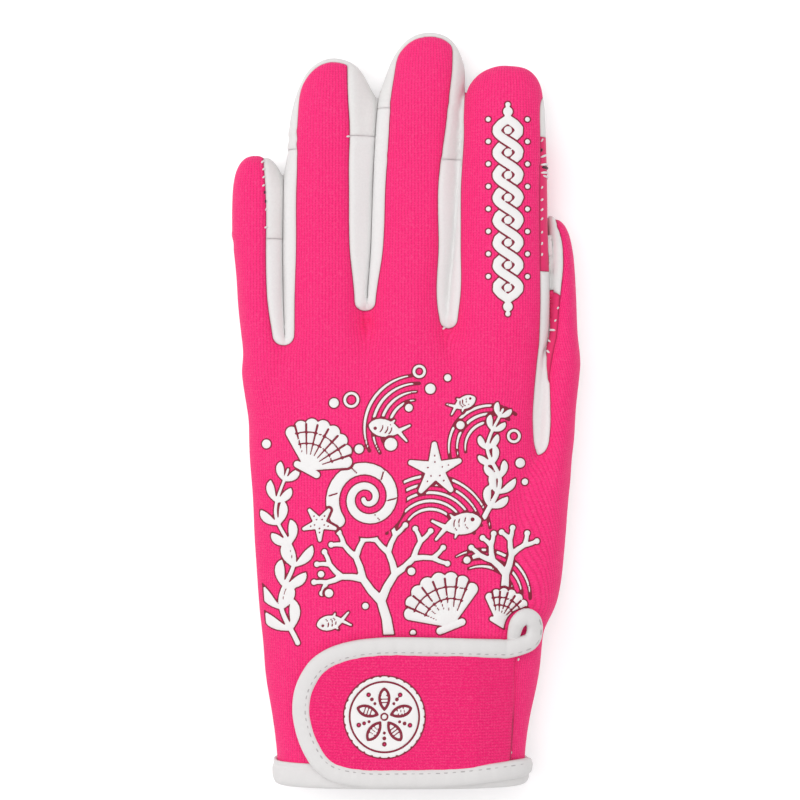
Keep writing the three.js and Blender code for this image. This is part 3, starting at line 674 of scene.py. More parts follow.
def cut_into_panels(skin):
    """Cuts the skin along every seam and returns the name of each face's panel."""
    skin.cut("glove", level(0.0))
    skin.keep(skin.flags["glove"])
    skin.cut("above", above_side_seam)
    for pair in STRIPS:
        skin.cut(f"strip {pair}", in_strip(pair), between(pair))
        skin.cut(f"cross {pair}", beyond_cross_seam(pair), between(pair))
    skin.cut("gusset", in_gusset, near_box(30, 70, 95, 240))
    inner_thumb = lambda p: near_box(36, 70, 100, 185)(p) & (on_thumb(p) > 0) & (in_gusset(p) > 0)
    skin.cut("thumb", on_thumb, near_box(38, 62, 95, 182))
    skin.cut("thumb web", level(THUMB_WEB), near_box(36, 70, 95, 120))
    thumb_from = along("thumb", THUMB_SEAMS["gusset"])
    index_from, index_to = (along("index", INDEX_SEAMS[k]) for k in ("gusset", "patch"))
    skin.cut("thumb from", level(thumb_from), inner_thumb)
    skin.cut("thumb to", patch_top, inner_thumb)
    skin.cut("wedge", patch_wedge, lambda p: near_box(42, 50, 124, 145)(p) & (p[:, 2] > 2))
    foot = THUMB_PATCH_FOOT * FINGERS["thumb"]["thickness"]
    skin.cut("thumb foot", level(foot, 2), lambda p: near_box(36, 60, 122, 160)(p) & (on_thumb(p) > 0))
    index_finger = lambda p: near_box(15, 60, 150, 215)(p) & (on_thumb(p) < 0)
    skin.cut("index from", level(index_from), index_finger)
    skin.cut("index to", level(index_to), index_finger)
    under = lambda p: near_box(15, 40, 158, 209)(p) & (p[:, 2] < 12)
    skin.cut("index inner", level(INDEX_PATCH_INNER, 0), under)
    for name in ("ring", "middle"):
        tip = tubes[name].tip
        x = tubes[name].centre(tip)
        skin.cut(f"tip {name}", level(tip - TIP_WRAP), near_box(x - 14, x + 14, tip - 12, 245))

    mid = skin.points[skin.faces].mean(1)
    x, y, z = mid.T
    above, gusset = skin.flags["above"], skin.flags["gusset"] & (x > 30)
    thumb = on_thumb(mid) > 0
    nearest = np.stack([tube.distance(*mid.T) for tube in tube_list], 1).argmin(1)
    label = np.where(thumb & (y > THUMB_WEB), "thumb_palm", "palm_panel").astype(object)
    strips = np.zeros(len(mid), bool)
    for pair in STRIPS:
        here = (in_strip(pair)(mid) > 0) & between(pair)(mid)
        strips |= here
        label[above & here & (beyond_cross_seam(pair)(mid) < 0)] = "fourchette_" + "_".join(pair)
    tips = np.zeros(len(mid), bool)
    for number, name in ((2, "ring"), (3, "middle")):
        tips |= (nearest == number) & (y > tubes[name].tip - TIP_WRAP)
    label[above & ~strips & ~gusset & ~tips] = "back_panel"
    beside = patch_wedge(mid) < 0
    wall = np.where(thumb, (y < thumb_from) | (beside & (y < PATCH_WEDGE[0][-1])), y < index_from)
    label[above & gusset & wall] = "thumb_gusset"
    on_index = (nearest == 4) & ~thumb & (x > INDEX_PATCH_INNER) & (y > index_from) & (y < index_to)
    label[on_index & (label != "back_panel")] = "index_patch"
    plan = in_gusset(mid) > 0
    label[thumb & plan & ~beside & (y > thumb_from) & (patch_top(mid) < 0) & (z > foot)] = "thumb_patch"
    return label


# ---------------------------------------------------------------- from points to pieces


def to_frame(points):
    """From millimetres at the hem to metres in the row frame."""
    return (np.asarray(points, float) + [0, HEM_Y, 0]) * MM


def placed(name, data):
    """A new object in the scene."""
    made = bpy.data.objects.new(name, data)
    bpy.context.scene.collection.objects.link(made)
    return made


def piece(name, points, faces, material, slot=None, replaces=None, uv=None, marks=None, sharp=None):
    """A mesh object that rides on the glove. uv and marks are values at its vertices."""
    mesh = bpy.data.meshes.new(name)
    mesh.from_pydata(to_frame(points).tolist(), [], [list(map(int, f)) for f in faces])
    mesh.polygons.foreach_set("use_smooth", np.ones(len(mesh.polygons), bool))
    if uv is not None:
        corner = np.zeros(len(mesh.loops), np.int32)
        mesh.loops.foreach_get("vertex_index", corner)
        layer = mesh.uv_layers.new(name="cloth")
        layer.data.foreach_set("uv", np.asarray(uv, np.float32)[corner].ravel())
    for mark, values in (marks or {}).items():
        layer = mesh.attributes.new(mark, "FLOAT", "POINT")
        layer.data.foreach_set("value", np.asarray(values, np.float32))
    if sharp:
        mesh.set_sharp_from_angle(angle=math.radians(sharp))
    mesh.materials.append(material)
    mesh.update()
    made = placed(name, mesh)
    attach(made, "root")
    if replaces:
        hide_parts(replaces)
    return made


def vertex_normals(points, faces):
    a, b, c = points[faces].transpose(1, 0, 2)
    normal = np.cross(b - a, c - a)
    total = np.zeros_like(points)
    for k in range(3):
        np.add.at(total, faces[:, k], normal)
    return unit(total)


def rim_of(faces):
    """The ends of the edges on a sheet's rim, for each of the three sides of a face."""
    edges, of_face = edges_of(faces)
    alone = np.bincount(of_face.ravel(), minlength=len(edges)) == 1
    return [(faces[rim, k], faces[rim, (k + 1) % 3]) for k, rim in enumerate(alone[of_face].T)]


def thick_sheet(top, bottom, faces):
    """A closed sheet between two surfaces that share their triangles."""
    count, rim = len(top), []
    for a, b in rim_of(faces):
        rim += [np.stack([b, a, a + count], 1), np.stack([b, a + count, b + count], 1)]
    return np.concatenate([top, bottom]), np.concatenate([faces, faces[:, ::-1] + count, *rim])


def distance_to(points, targets):
    tree = KDTree(len(targets))
    for k, target in enumerate(targets):
        tree.insert(target, k)
    tree.balance()
    return np.array([tree.find(point)[2] for point in points])


def waves(p, lengths, seed):
    """Soft bumps between about -1 and 1, from a few sines in fixed random directions."""
    random = np.random.default_rng(seed)
    total = np.zeros(len(p))
    for length in lengths:
        direction = unit(random.normal(size=3))
        total += np.sin(p @ direction * 2 * np.pi / length + random.uniform(0, 6.28))
    return total / math.sqrt(len(lengths))


SEAM_DEPTH = 0.5
SEAM_SOFT = 0.8
PUFF = 0.22  # how far a panel bulges between its seams
SEAM_OPEN = 0.05
KNUCKLES = ((-30, 118, 9, 0.5), (2, 126, 10, 0.45), (29, 120, 9, 0.4))  # x, y, reach across and height
KNUCKLE_LENGTH = 14.0
DIMPLE = (45.2, 99.0)  # below the gusset's point


def cloth_relief(p, normal):
    """How far the cloth stands out from the smooth skin: soft dents and folds."""
    x, y, _ = p.T
    upward = np.clip(normal[:, 2], 0, 1)
    relief = 0.16 * waves(p, (38, 31, 24, 19), 3) + 0.07 * waves(p, (11, 9, 7.5), 4)
    dimple = np.hypot(x - DIMPLE[0], (y - DIMPLE[1]) * 0.6)
    relief -= 0.9 * np.exp(-((dimple / 2.6) ** 2)) * upward
    for at_x, at_y, reach, height in KNUCKLES:
        relief += height * np.exp(-(((x - at_x) / reach) ** 2) - ((y - at_y) / KNUCKLE_LENGTH) ** 2) * upward
    bell = lambda v, at, wide: np.exp(-(((v - at) / wide) ** 2))
    for (left, right), strip in STRIPS.items():
        for name, share in ((left, strip["left_top"]), (right, strip["right_top"])):
            tube, past = tubes[name], y - along(name, share)
            on = (np.abs(x - tube.centre(y)) < tube.half(y) + 0.3) & (normal[:, 2] < 0.93)
            relief += 0.22 * (bell(past, 1.6, 1.1) - 0.8 * bell(past, -1.2, 1.3)) * on
    return relief


def cloth_uv(p):
    """Millimetres across and along the knit's ribs. The ribs run along the hand, slanted on the thumb."""
    x, y, z = p.T
    w = weights(p, 2.5)
    across = np.zeros(len(p))
    for k, tube in enumerate(tube_list):
        side = np.clip((x - tube.centre(y)) / tube.half(y), -1, 1)
        drop = np.maximum(tube.middle(y) + tube.reach(y)[0] - z, 0)
        across += w[:, k] * side * drop * 0.85
    slant = 0.38 * w[:, 5]
    return np.stack([x + across + slant * (y - 100), y - slant * across], 1)


def panel(skin, label, name, outer, normal, near):
    """Points, faces, marks and cloth coordinates of one panel, a wall with an outer and an inner side."""
    faces = skin.faces[label == name]
    used, faces = np.unique(faces, return_inverse=True)
    faces = faces.reshape(-1, 3)
    out, n = outer[used].copy(), normal[used]
    on_rim = np.unique(np.concatenate([end for ends in rim_of(faces) for end in ends]))
    middles = out[faces].mean(1)
    pull = np.zeros_like(out)
    for k in range(3):
        np.add.at(pull, faces[:, k], middles - out[faces[:, k]])
    pull = unit(pull - (pull * n).sum(1)[:, None] * n)
    out[on_rim] += SEAM_OPEN * pull[on_rim]
    wall = NEOPRENE if name == "back_panel" else SUEDE
    inner = out - wall * n
    inner[:, 2] = np.maximum(inner[:, 2], np.minimum(wall * 0.8, out[:, 2] + wall * 0.8))
    points, faces = thick_sheet(out, inner, faces)
    marks = {"seam": np.tile(near[used], 2), "inner": np.repeat([0.0, 1.0], len(out))}
    return points, faces, marks, np.tile(cloth_uv(out), (2, 1))


# ---------------------------------------------------------------- materials


class Nodes:
    """Short names for the shader nodes that the materials use."""

    def __init__(self, name, colour, roughness, specular=0.3, sheen=0.0):
        self.material = bpy.data.materials.new(name)
        self.material.use_nodes = True
        self.material.diffuse_color = (*colour, 1)
        self.tree = self.material.node_tree
        self.shader = self.tree.nodes["Principled BSDF"]
        self.shader.inputs["Base Color"].default_value = (*colour, 1)
        self.shader.inputs["Roughness"].default_value = roughness
        self.shader.inputs["Specular IOR Level"].default_value = specular
        self.shader.inputs["Sheen Weight"].default_value = sheen
        self.shader.inputs["Sheen Roughness"].default_value = 0.5

    def add(self, kind, **settings):
        node = self.tree.nodes.new("ShaderNode" + kind)
        for key, value in settings.items():
            setattr(node, key, value)
        return node

    def put(self, value, socket):
        if isinstance(value, bpy.types.NodeSocket):
            self.tree.links.new(value, socket)
        else:
            socket.default_value = value

    def math(self, operation, *values, clamp=False):
        node = self.add("Math", operation=operation, use_clamp=clamp)
        for value, socket in zip(values, node.inputs):
            self.put(value, socket)
        return node.outputs[0]

    def plus(self, a, b):
        return self.math("ADD", a, b)

    def times(self, a, b):
        return self.math("MULTIPLY", a, b)

    def share(self, value, gain, start):
        """value times gain plus start, held between 0 and 1."""
        return self.math("MULTIPLY_ADD", value, gain, start, clamp=True)

    def seam_shade_share(self, reach, power, most):
        """A share of painted shade along a seam: highest on the seam and 0 at some millimetres from it."""
        near = self.math("SUBTRACT", 1.0, self.math("DIVIDE", self.mark("seam"), reach), clamp=True)
        return self.times(self.math("POWER", near, power), most)

    def noise(self, scale, detail=2.0, distortion=0.0):
        """Noise by place in the frame; scale is in turns to a metre."""
        node = self.add("TexNoise")
        self.put(self.add("TexCoord").outputs["Object"], node.inputs["Vector"])
        node.inputs["Scale"].default_value = scale
        node.inputs["Detail"].default_value = detail
        node.inputs["Distortion"].default_value = distortion
        return node.outputs["Fac"]

    def mix(self, share, a, b, blend="MIX"):
        node = self.add("Mix", data_type="RGBA", blend_type=blend)
        self.put(share, node.inputs[0])
        self.put((*a, 1) if isinstance(a, tuple) else a, node.inputs[6])
        self.put((*b, 1) if isinstance(b, tuple) else b, node.inputs[7])
        return node.outputs[2]

    def mark(self, name):
        return self.add("Attribute", attribute_name=name).outputs["Fac"]

    def cloth(self):
        """The cloth's own coordinates in millimetres: across its ribs, and along them."""
        uv = self.add("UVMap", uv_map="cloth")
        split = self.add("SeparateXYZ")
        self.put(uv.outputs[0], split.inputs[0])
        return split.outputs[0], split.outputs[1]

    def finish(self, colour=None, roughness=None, height=None, depth=0.1, strength=1.0):
        if colour is not None:
            self.put(colour, self.shader.inputs["Base Color"])
        if roughness is not None:
            self.put(roughness, self.shader.inputs["Roughness"])
        if height is not None:
            bump = self.add("Bump")
            bump.inputs["Strength"].default_value = strength
            bump.inputs["Distance"].default_value = depth * MM
            self.put(height, bump.inputs["Height"])
            self.put(bump.outputs[0], self.shader.inputs["Normal"])
        return self.material


PINK = (0.93, 0.021, 0.190)
PINK_DEEP = (0.50, 0.008, 0.070)
# painted shade: the dark crimson laid along seams and round the raised prints
SHADE_CRIMSON = (0.22, 0.006, 0.028)
WHITE = (0.80, 0.79, 0.785)
PALE_FIBRE = (1.0, 0.13, 0.32)
LINING = (0.05, 0.048, 0.05)
RIB = 1.05  # mm from rib to rib
STITCH = 0.8
KNIT_DEPTH = 0.16


def knit(name, colour, deep, rib=RIB, stitch=STITCH):
    """Jersey over neoprene: fine ribs of V-shaped stitches, darker between them, with painted shade in dark
    crimson along a seam.
    """
    n = Nodes(name, colour, 0.78, 0.22, 0.12)
    n.shader.inputs["Sheen Tint"].default_value = (1.0, 0.55, 0.72, 1)
    u, v = n.cloth()
    wobble = n.times(n.math("SUBTRACT", n.noise(260, 2), 0.5), 0.5)
    across = n.math("FRACT", n.plus(n.math("DIVIDE", u, rib), wobble))
    off = n.math("ABSOLUTE", n.math("SUBTRACT", n.times(across, 2.0), 1.0))
    ridge = n.math("POWER", n.math("SUBTRACT", 1.0, n.times(off, off)), 0.7)
    turn = n.times(n.plus(n.math("DIVIDE", v, stitch), n.times(off, 0.45)), 2 * math.pi)
    legs = n.times(n.plus(n.math("SINE", turn), 1.0), 0.5)
    fuzz = n.noise(3200, 3)
    height = n.plus(n.plus(n.times(ridge, 0.62), n.times(legs, 0.3)), n.times(fuzz, 0.45))
    cloudy, fibres = n.share(n.noise(45, 3), 0.9, -0.2), n.share(n.noise(2100, 3), 4.0, -1.9)
    tone = n.mix(n.share(height, 0.8, 0.14), deep, colour)
    paler = (min(colour[0] * 1.12, 1), colour[1] * 2.2, colour[2] * 1.5)
    tone = n.mix(n.times(cloudy, 0.16), tone, paler)
    tone = n.mix(n.times(fibres, 0.35), tone, PALE_FIBRE)
    # painted shade: dark crimson mixed in along each seam, where its groove would lie in shadow
    tone = n.mix(n.seam_shade_share(0.75, 1.6, 0.75), tone, SHADE_CRIMSON)
    tone = n.mix(n.times(n.mark("inner"), 0.85), tone, LINING)
    return n.finish(tone, n.math("MULTIPLY_ADD", fuzz, 0.2, 0.68), height, KNIT_DEPTH, 0.9)


def shaded(colour, share):
    return tuple(share * part for part in colour)


def suede(name, colour, grain=1500, depth=0.07, darker=0.86, edge=(0.42, 0.36, 0.37)):
    """Thin synthetic suede or tape: a fine grain, faint clouds and painted shade along its seams."""
    n = Nodes(name, colour, 0.72, 0.25, 0.10)
    fine, soft, fibre = n.noise(grain, 4, distortion=0.6), n.noise(110, 3), n.noise(5200, 2)
    height = n.plus(n.times(fine, 0.7), n.times(fibre, 0.3))
    tone = n.mix(n.share(fine, 0.9, 0.05), shaded(colour, darker), colour)
    tone = n.mix(n.share(soft, 0.5, -0.1), tone, shaded(colour, 0.93))
    # edge is the colour of painted shade, mixed in along the seams
    if edge:
        tone = n.mix(n.seam_shade_share(0.7, 1.5, 0.4), tone, edge)
    return n.finish(tone, n.math("MULTIPLY_ADD", fine, 0.25, 0.6), height, depth, 0.8)


def ink(name, colour, roughness=0.5):
    """Raised rubbery print, with fine pores from the knit below."""
    n = Nodes(name, colour, roughness, 0.35)
    pores, soft = n.noise(2300, 3), n.noise(180, 2)
    tone = n.mix(n.share(pores, 0.8, 0.1), shaded(colour, 0.9), colour)
    tone = n.mix(n.share(soft, 0.5, -0.12), tone, shaded(colour, 0.94))
    return n.finish(tone, n.math("MULTIPLY_ADD", pores, 0.2, roughness - 0.1), pores, 0.05, 0.7)


def thread(name, colour):
    n = Nodes(name, colour, 0.6, 0.3, 0.2)
    twist = n.noise(2600, 2, distortion=1.2)
    tone = n.mix(twist, shaded(colour, 0.7), colour)
    return n.finish(tone, None, twist, 0.06, 0.8)


materials = {
    "pink_knit": knit("pink_knit", PINK, PINK_DEEP),
    "strap_knit": knit("strap_knit", (0.84, 0.011, 0.155), (0.55, 0.008, 0.075), rib=0.92, stitch=0.85),
    "patch_suede": suede("patch_suede", (0.80, 0.030, 0.155), grain=1900, darker=0.80, edge=SHADE_CRIMSON),
    "white_suede": suede("white_suede", WHITE),
    "palm_suede": suede("palm_suede", (0.78, 0.77, 0.76), grain=1100, depth=0.1),
    "binding": suede("binding", (0.71, 0.695, 0.69), grain=2400, depth=0.04, darker=0.92, edge=None),
    "ink_white": ink("ink_white", (0.83, 0.815, 0.81)),
    # dark crimson sheet under each print: painted shade round the print's raised edge
    "ink_edge_shade": ink("ink_edge_shade", SHADE_CRIMSON, 0.6),
    "thread_white": thread("thread_white", (0.86, 0.84, 0.84)),
    "thread_grey": thread("thread_grey", (0.50, 0.48, 0.48)),
    "thread_dark": thread("thread_dark", (0.05, 0.02, 0.03)),
}

# ---------------------------------------------------------------- the skin's panels

PANELS = {
    "back_panel": ("pink_knit", "pink_neoprene"),
    "palm_panel": ("palm_suede", "white_suede"),
    "thumb_palm": ("palm_suede", "white_suede"),
    "fourchette_little_ring": ("white_suede", "white_suede"),
    "fourchette_ring_middle": ("white_suede", "white_suede"),
    "fourchette_middle_index": ("white_suede", "white_suede"),
    "thumb_gusset": ("white_suede", "white_suede"),
    "index_patch": ("patch_suede", "pink_patch"),
    "thumb_patch": ("patch_suede", "pink_patch"),
}


def seam_distance(points, edges):
    on_seam = np.unique(edges)
    near = distance_to(points, np.concatenate([points[on_seam], points[edges].mean(1)]))
    near[on_seam] = 0
    return near


def make_skin():
    points, faces = skin_mesh()
    skin = Skin(points, faces)
    label = cut_into_panels(skin)
    normal = vertex_normals(skin.points, skin.faces)
    edges, of_face = edges_of(skin.faces)
    number = np.unique(label.astype(str), return_inverse=True)[1]
    highest, lowest = np.full(len(edges), -1), np.full(len(edges), 99)
    for k in range(3):
        np.maximum.at(highest, of_face[:, k], number)
        np.minimum.at(lowest, of_face[:, k], number)
    pink = np.isin(np.unique(label.astype(str)), ["back_panel", "index_patch", "thumb_patch"])
    joins = highest != lowest
    dyed = joins & (pink[highest] | pink[np.minimum(lowest, len(pink) - 1)])
    near, near_dyed = (seam_distance(skin.points, edges[chosen]) for chosen in (joins, dyed))
    relief = cloth_relief(skin.points, normal)
    relief += PUFF * (1 - np.exp(-((near_dyed / 2.5) ** 2)))
    relief -= SEAM_DEPTH * np.exp(-((near_dyed / SEAM_SOFT) ** 2))
    plain = (near < near_dyed - 1e-6) & (near_dyed > SEAM_SOFT)
    relief -= np.where(plain, 0.2 * np.exp(-((near / 0.6) ** 2)), 0)
    resting = smoothstep(0.0, 0.5, skin.points[:, 2])  # the flat sole stays flat
    for pair, web in WEBS.items():  # nor do walls that touch bulge into each other
        away = np.abs(skin.points[:, 0] - gap_lines[pair](skin.points[:, 1]))
        resting = resting * np.where(skin.points[:, 1] > web, smoothstep(0.05, 1.3, away), 1)
    outer = skin.points + normal * (relief * resting)[:, None]
    outer[:, 2] = np.maximum(outer[:, 2], 0)
    outer[:, 1] = np.maximum(outer[:, 1], 0)
    normal = vertex_normals(outer, skin.faces)
    for name, (material, slot) in PANELS.items():
        points, panel_faces, marks, uv = panel(skin, label, name, outer, normal, near)
        piece("glove_" + name, points, panel_faces, materials[material], slot, name, uv, marks, sharp=55)
    return outer, skin.faces


def drape_target(points, faces):
    return BVHTree.FromPolygons(points.tolist(), faces.tolist())


skin_tree = drape_target(*make_skin())


def dropped(tree, x, y, above=60.0):
    """Where a point above the glove comes down on it, and the surface's direction there."""
    place, normal, _, _ = tree.ray_cast(Vector((x, y, above)), Vector((0, 0, -1)))
    if place is None:
        place, normal, _, _ = tree.find_nearest(Vector((x, y, 10)))
    return place, normal


# ---------------------------------------------------------------- flat shapes laid over the glove


def to_segment(x, y, start, end):
    """Where the nearest point of a segment lies, as a share of its length, and the distance to it."""
    (ax, ay), (bx, by) = start, end
    dx, dy = bx - ax, by - ay
    t = np.clip(((x - ax) * dx + (y - ay) * dy) / max(dx**2 + dy**2, 1e-9), 0, 1)
    return t, np.hypot(x - ax - t * dx, y - ay - t * dy)


class Drawing:
    """A flat shape in plan: its distance at every node of a grid, negative inside."""

    FAR = 9.0

    def __init__(self, x0, x1, y0, y1, cell):
        self.cell = cell
        self.xs, self.ys = np.arange(x0, x1 + cell, cell), np.arange(y0, y1 + cell, cell)
        self.x, self.y = np.meshgrid(self.xs, self.ys, indexing="ij")
        self.d = np.full(self.x.shape, self.FAR)

    def _window(self, points, margin):
        low, high = points.min(0) - margin, points.max(0) + margin
        i = slice(*np.searchsorted(self.xs, [low[0], high[0]]))
        j = slice(*np.searchsorted(self.ys, [low[1], high[1]]))
        return i, j

    def stroke(self, points, widths, erase=False):
        """A line whose full width changes along it."""
        points = np.asarray(points, float)
        widths = np.broadcast_to(np.asarray(widths, float), len(points)) / 2
        window = self._window(points, widths.max() + 2.5)
        x, y = self.x[window], self.y[window]
        if not x.size:
            return
        best = np.full(x.shape, self.FAR)
        for start, end, wide, wide_end in zip(points, points[1:], widths, widths[1:]):
            t, d = to_segment(x, y, start, end)
            best = np.minimum(best, d - (wide + t * (wide_end - wide)))
        old = self.d[window]
        self.d[window] = np.maximum(old, -best) if erase else np.minimum(old, best)

    def blank(self):
        """An empty drawing on the same grid."""
        ends = [(v[0], v[-1] - self.cell / 2) for v in (self.xs, self.ys)]
        return Drawing(*ends[0], *ends[1], self.cell)

    def lay(self, other, halo=0.85):
        """Puts another shape on top, with a clear margin round it."""
        self.d = np.minimum(np.maximum(self.d, halo - other.d), other.d)

    def disc(self, x, y, radius, erase=False):
        self.stroke([(x, y), (x + 1e-3, y)], 2 * radius, erase)

    def ring(self, x, y, radius, width):
        self.stroke(arc(x, y, radius, 0, 360, 33), width)

    def only_inside(self, distance):
        self.d = np.maximum(self.d, distance)

    def outline_mesh(self, grow=0.0, hollow=None):
        """Triangles of the shape grown by a distance, and the distance at each point."""
        nx, ny = self.x.shape
        k = np.arange(nx * ny).reshape(nx, ny)
        a, b, c, d = k[:-1, :-1].ravel(), k[1:, :-1].ravel(), k[1:, 1:].ravel(), k[:-1, 1:].ravel()
        faces = np.concatenate([np.stack([a, b, c], 1), np.stack([a, c, d], 1)])
        value = self.d.ravel() - grow
        near = (value[faces] < 2 * self.cell).any(1) & (value[faces].min(1) < 0)
        if hollow is not None:
            near &= value[faces].max(1) > -hollow - grow
        faces = faces[near]
        used, faces = np.unique(faces, return_inverse=True)
        faces = faces.reshape(-1, 3)
        points = np.stack([self.x.ravel(), self.y.ravel(), np.zeros(nx * ny)], 1)[used]
        sheet = Skin(points, faces)
        first = value[used]
        sheet.cut("ink", lambda p: first.copy())
        sheet.keep(~sheet.flags["ink"])
        depth = np.concatenate([first, np.zeros(len(sheet.points) - len(first))])
        used, faces = np.unique(sheet.faces, return_inverse=True)
        return sheet.points[used], faces.reshape(-1, 3), np.minimum(depth[used], 0)


def printed(name, drawing, tree, lift=0.12, raised=0.2, outline=0.42):
    """A raised white print on a slightly wider dark crimson sheet, painted shade round the print's raised
    edge, both draped over what lies below it.
    """
    # the first part is the dark crimson sheet under the print, painted shade round its raised edge; the
    # second is the white ink
    for part, grow, hollow, base, swell in (
        ("_edge_shade", outline, 0.7, lift * 0.6, 0.0),
        ("_ink", 0.0, None, lift, raised),
    ):
        points, faces, depth = drawing.outline_mesh(grow, hollow)
        top, bottom = np.zeros_like(points), np.zeros_like(points)
        for k, (x, y, _) in enumerate(points):
            place, normal = dropped(tree, x, y)
            out = base + swell * (1 - math.exp(depth[k] / 0.28))
            top[k], bottom[k] = place + normal * out, place - normal * 0.06
        solid, solid_faces = thick_sheet(top, bottom, faces)
        material, slot = ("ink_white", "white_binding") if part == "_ink" else ("ink_edge_shade", None)
        piece(name + part, solid, solid_faces, materials[material], slot, sharp=60)


def polygon_distance(x, y, points):
    """Distance from a closed outline, negative inside."""
    best, inside = np.full(x.shape, 99.0), np.zeros(x.shape, bool)
    for (ax, ay), (bx, by) in zip(points, np.roll(points, -1, 0)):
        best = np.minimum(best, to_segment(x, y, (ax, ay), (bx, by))[1])
        if ay != by:
            inside ^= ((ay > y) != (by > y)) & (x < ax + (y - ay) * (bx - ax) / (by - ay))
    return np.where(inside, -best, best)


def smooth_path(points, step):
    """Points at even steps along a soft curve through the given ones, of any number of columns."""
    points = np.asarray(points, float)
    padded = np.concatenate([[2 * points[0] - points[1]], points, [2 * points[-1] - points[-2]]])
    curve = []
    for k in range(len(points) - 1):
        p0, p1, p2, p3 = padded[k : k + 4]
        for t in np.linspace(0, 1, 24, endpoint=False):
            a, b = 2 * p0 - 5 * p1 + 4 * p2 - p3, 3 * p1 - p0 - 3 * p2 + p3
            curve.append((2 * p1 + (p2 - p0) * t + a * t**2 + b * t**3) / 2)
    curve = np.array([*curve, points[-1]])
    run = np.concatenate([[0], np.cumsum(np.linalg.norm(np.diff(curve[:, :2], axis=0), axis=1))])
    at = np.linspace(0, run[-1], max(2, int(run[-1] / step) + 1))
    return np.stack([np.interp(at, run, column) for column in curve.T], 1), at


def lying(x, y, out, extra=0.0):
    """A point over the hand at some distance out, and the direction away from the hand."""
    x, y = np.asarray(x, float), np.asarray(y, float)
    z, e = hand.height(x, y, out), 0.2
    dx = (hand.height(x + e, y, out) - hand.height(x - e, y, out)) / (2 * e)
    dy = (hand.height(x, y + e, out) - hand.height(x, y - e, out)) / (2 * e)
    up = np.stack([-dx, -dy, np.ones_like(x)], -1)
    return np.stack([x, y, z + extra], -1), unit(up)


def squarer(v, exponent):
    """Brings a circle's coordinates to those of a superellipse."""
    return np.sign(v) * np.abs(v) ** (2 / exponent)


def tube_faces(rings, count, closed=False):
    k, r = np.meshgrid(np.arange(count), np.arange(rings if closed else rings - 1), indexing="ij")
    k, r = k.ravel(), r.ravel()
    n, s = (k + 1) % count, (r + 1) % rings
    return np.stack([r * count + k, r * count + n, s * count + n, s * count + k], 1)


def capped_tube(rings, count):
    """A tube's faces, with one over each of its ends."""
    first = list(range(count))
    return [*tube_faces(rings, count).tolist(), first[::-1], [(rings - 1) * count + k for k in first]]


# ---------------------------------------------------------------- strap and bindings

STRAP_BAND = 6.0
STRAP_THICKNESS = 2.4
STRAP_REST = 1.8  # clear of the hand
# Outer edge of the strap's binding in plan, from the top right round the free end to the bottom right
STRAP_OUTLINE = np.array([
    (34.5, 45.3), (30, 45.5), (14.4, 46.1), (-2, 46.4), (-11.2, 46.0), (-18, 44.9), (-24.4, 42.7),
    (-29.5, 39.2), (-32.7, 34.8), (-34.8, 30), (-35.6, 25), (-35.4, 20.2), (-33.8, 14), (-31.2, 8.6),
    (-28.2, 4.6), (-24.6, 2.0), (-19.6, 0.4), (-11.2, -0.6), (-2, -0.6), (12, -0.4), (26, 0.6), (38, 1.4),
])
TAPE_HEIGHT = 3.5
TAPE_ROUND = 2.35
CREASE_PLACE = 1.6  # the tape's stitched crease lies this far inwards from its middle
STITCH_PITCH = 2.6
# The binding's curl beyond its top run: place of its middle, how far out it lies, its width and height
CURL = [
    (34.3, 44.2, 0.9, 4.0, 2.4), (34.5, 47.4, 2.6, 4.4, 2.8), (35.6, 50.9, 3.9, 5.0, 3.0),
    (38.2, 52.7, 4.4, 5.2, 3.2), (40.6, 51.0, 4.2, 5.4, 3.3), (41.0, 47.4, 3.7, 5.6, 3.3),
    (39.2, 44.2, 3.2, 5.8, 3.3),
]
# Where the binding runs into the hem's tape at the bottom right
BINDING_END = [(38.3, 4.3, 1.7, 5.6, 3.4), (39.7, 4.2, 0.6, 4.8, 3.0)]


def strap_end(y):
    """The line on which the strap is sewn down."""
    return np.interp(y, [6, 40], [33.5, 35.9])


def strap_out(x, high):
    """How far the strap stands off the hand: it comes down towards its sewn end."""
    low, top = STRAP_REST, STRAP_REST + STRAP_THICKNESS
    return np.interp(x, [22, 35], [top, 2.1]) if high else np.interp(x, [22, 35], [low, 0.2])


strap_path, _ = smooth_path(STRAP_OUTLINE, 0.8)


def inset_path(distance):
    d = unit(np.gradient(strap_path, axis=0))
    return strap_path + distance * np.stack([-d[:, 1], d[:, 0]], 1)


def make_strap():
    plan = Drawing(-37, 38, -1, 46, 0.62)
    closed = np.concatenate([strap_path, [[40, 1.4], [40, 45.3]]])
    plan.d = polygon_distance(plan.x, plan.y, closed) + STRAP_BAND * 0.92
    plan.d = np.maximum(plan.d, plan.x - strap_end(plan.y))
    points, faces, depth = plan.outline_mesh()
    x, y = points[:, 0], points[:, 1]
    sewn = smoothstep(1.6, 0.0, strap_end(y) - x)
    puffed = 0.35 * (1 - np.exp(depth / 3)) - 0.5 * sewn
    ripple = 0.12 * waves(points, (26, 17, 13), 8)
    top, up = lying(x, y, strap_out(x, True))
    top = top + up * (puffed + ripple)[:, None]
    bottom, _ = lying(x, y, strap_out(x, False))
    solid, solid_faces = thick_sheet(top, bottom, faces)
    uv = np.tile(np.stack([y + 0.012 * x, x], 1), (2, 1))
    marks = {"seam": np.tile(strap_end(y) - x, 2), "inner": np.zeros(2 * len(top))}
    knitted = materials["strap_knit"]
    piece("glove_strap", solid, solid_faces, knitted, "pink_neoprene", "strap", uv, marks, 50)
    return top, faces


strap_tree = drape_target(*make_strap())


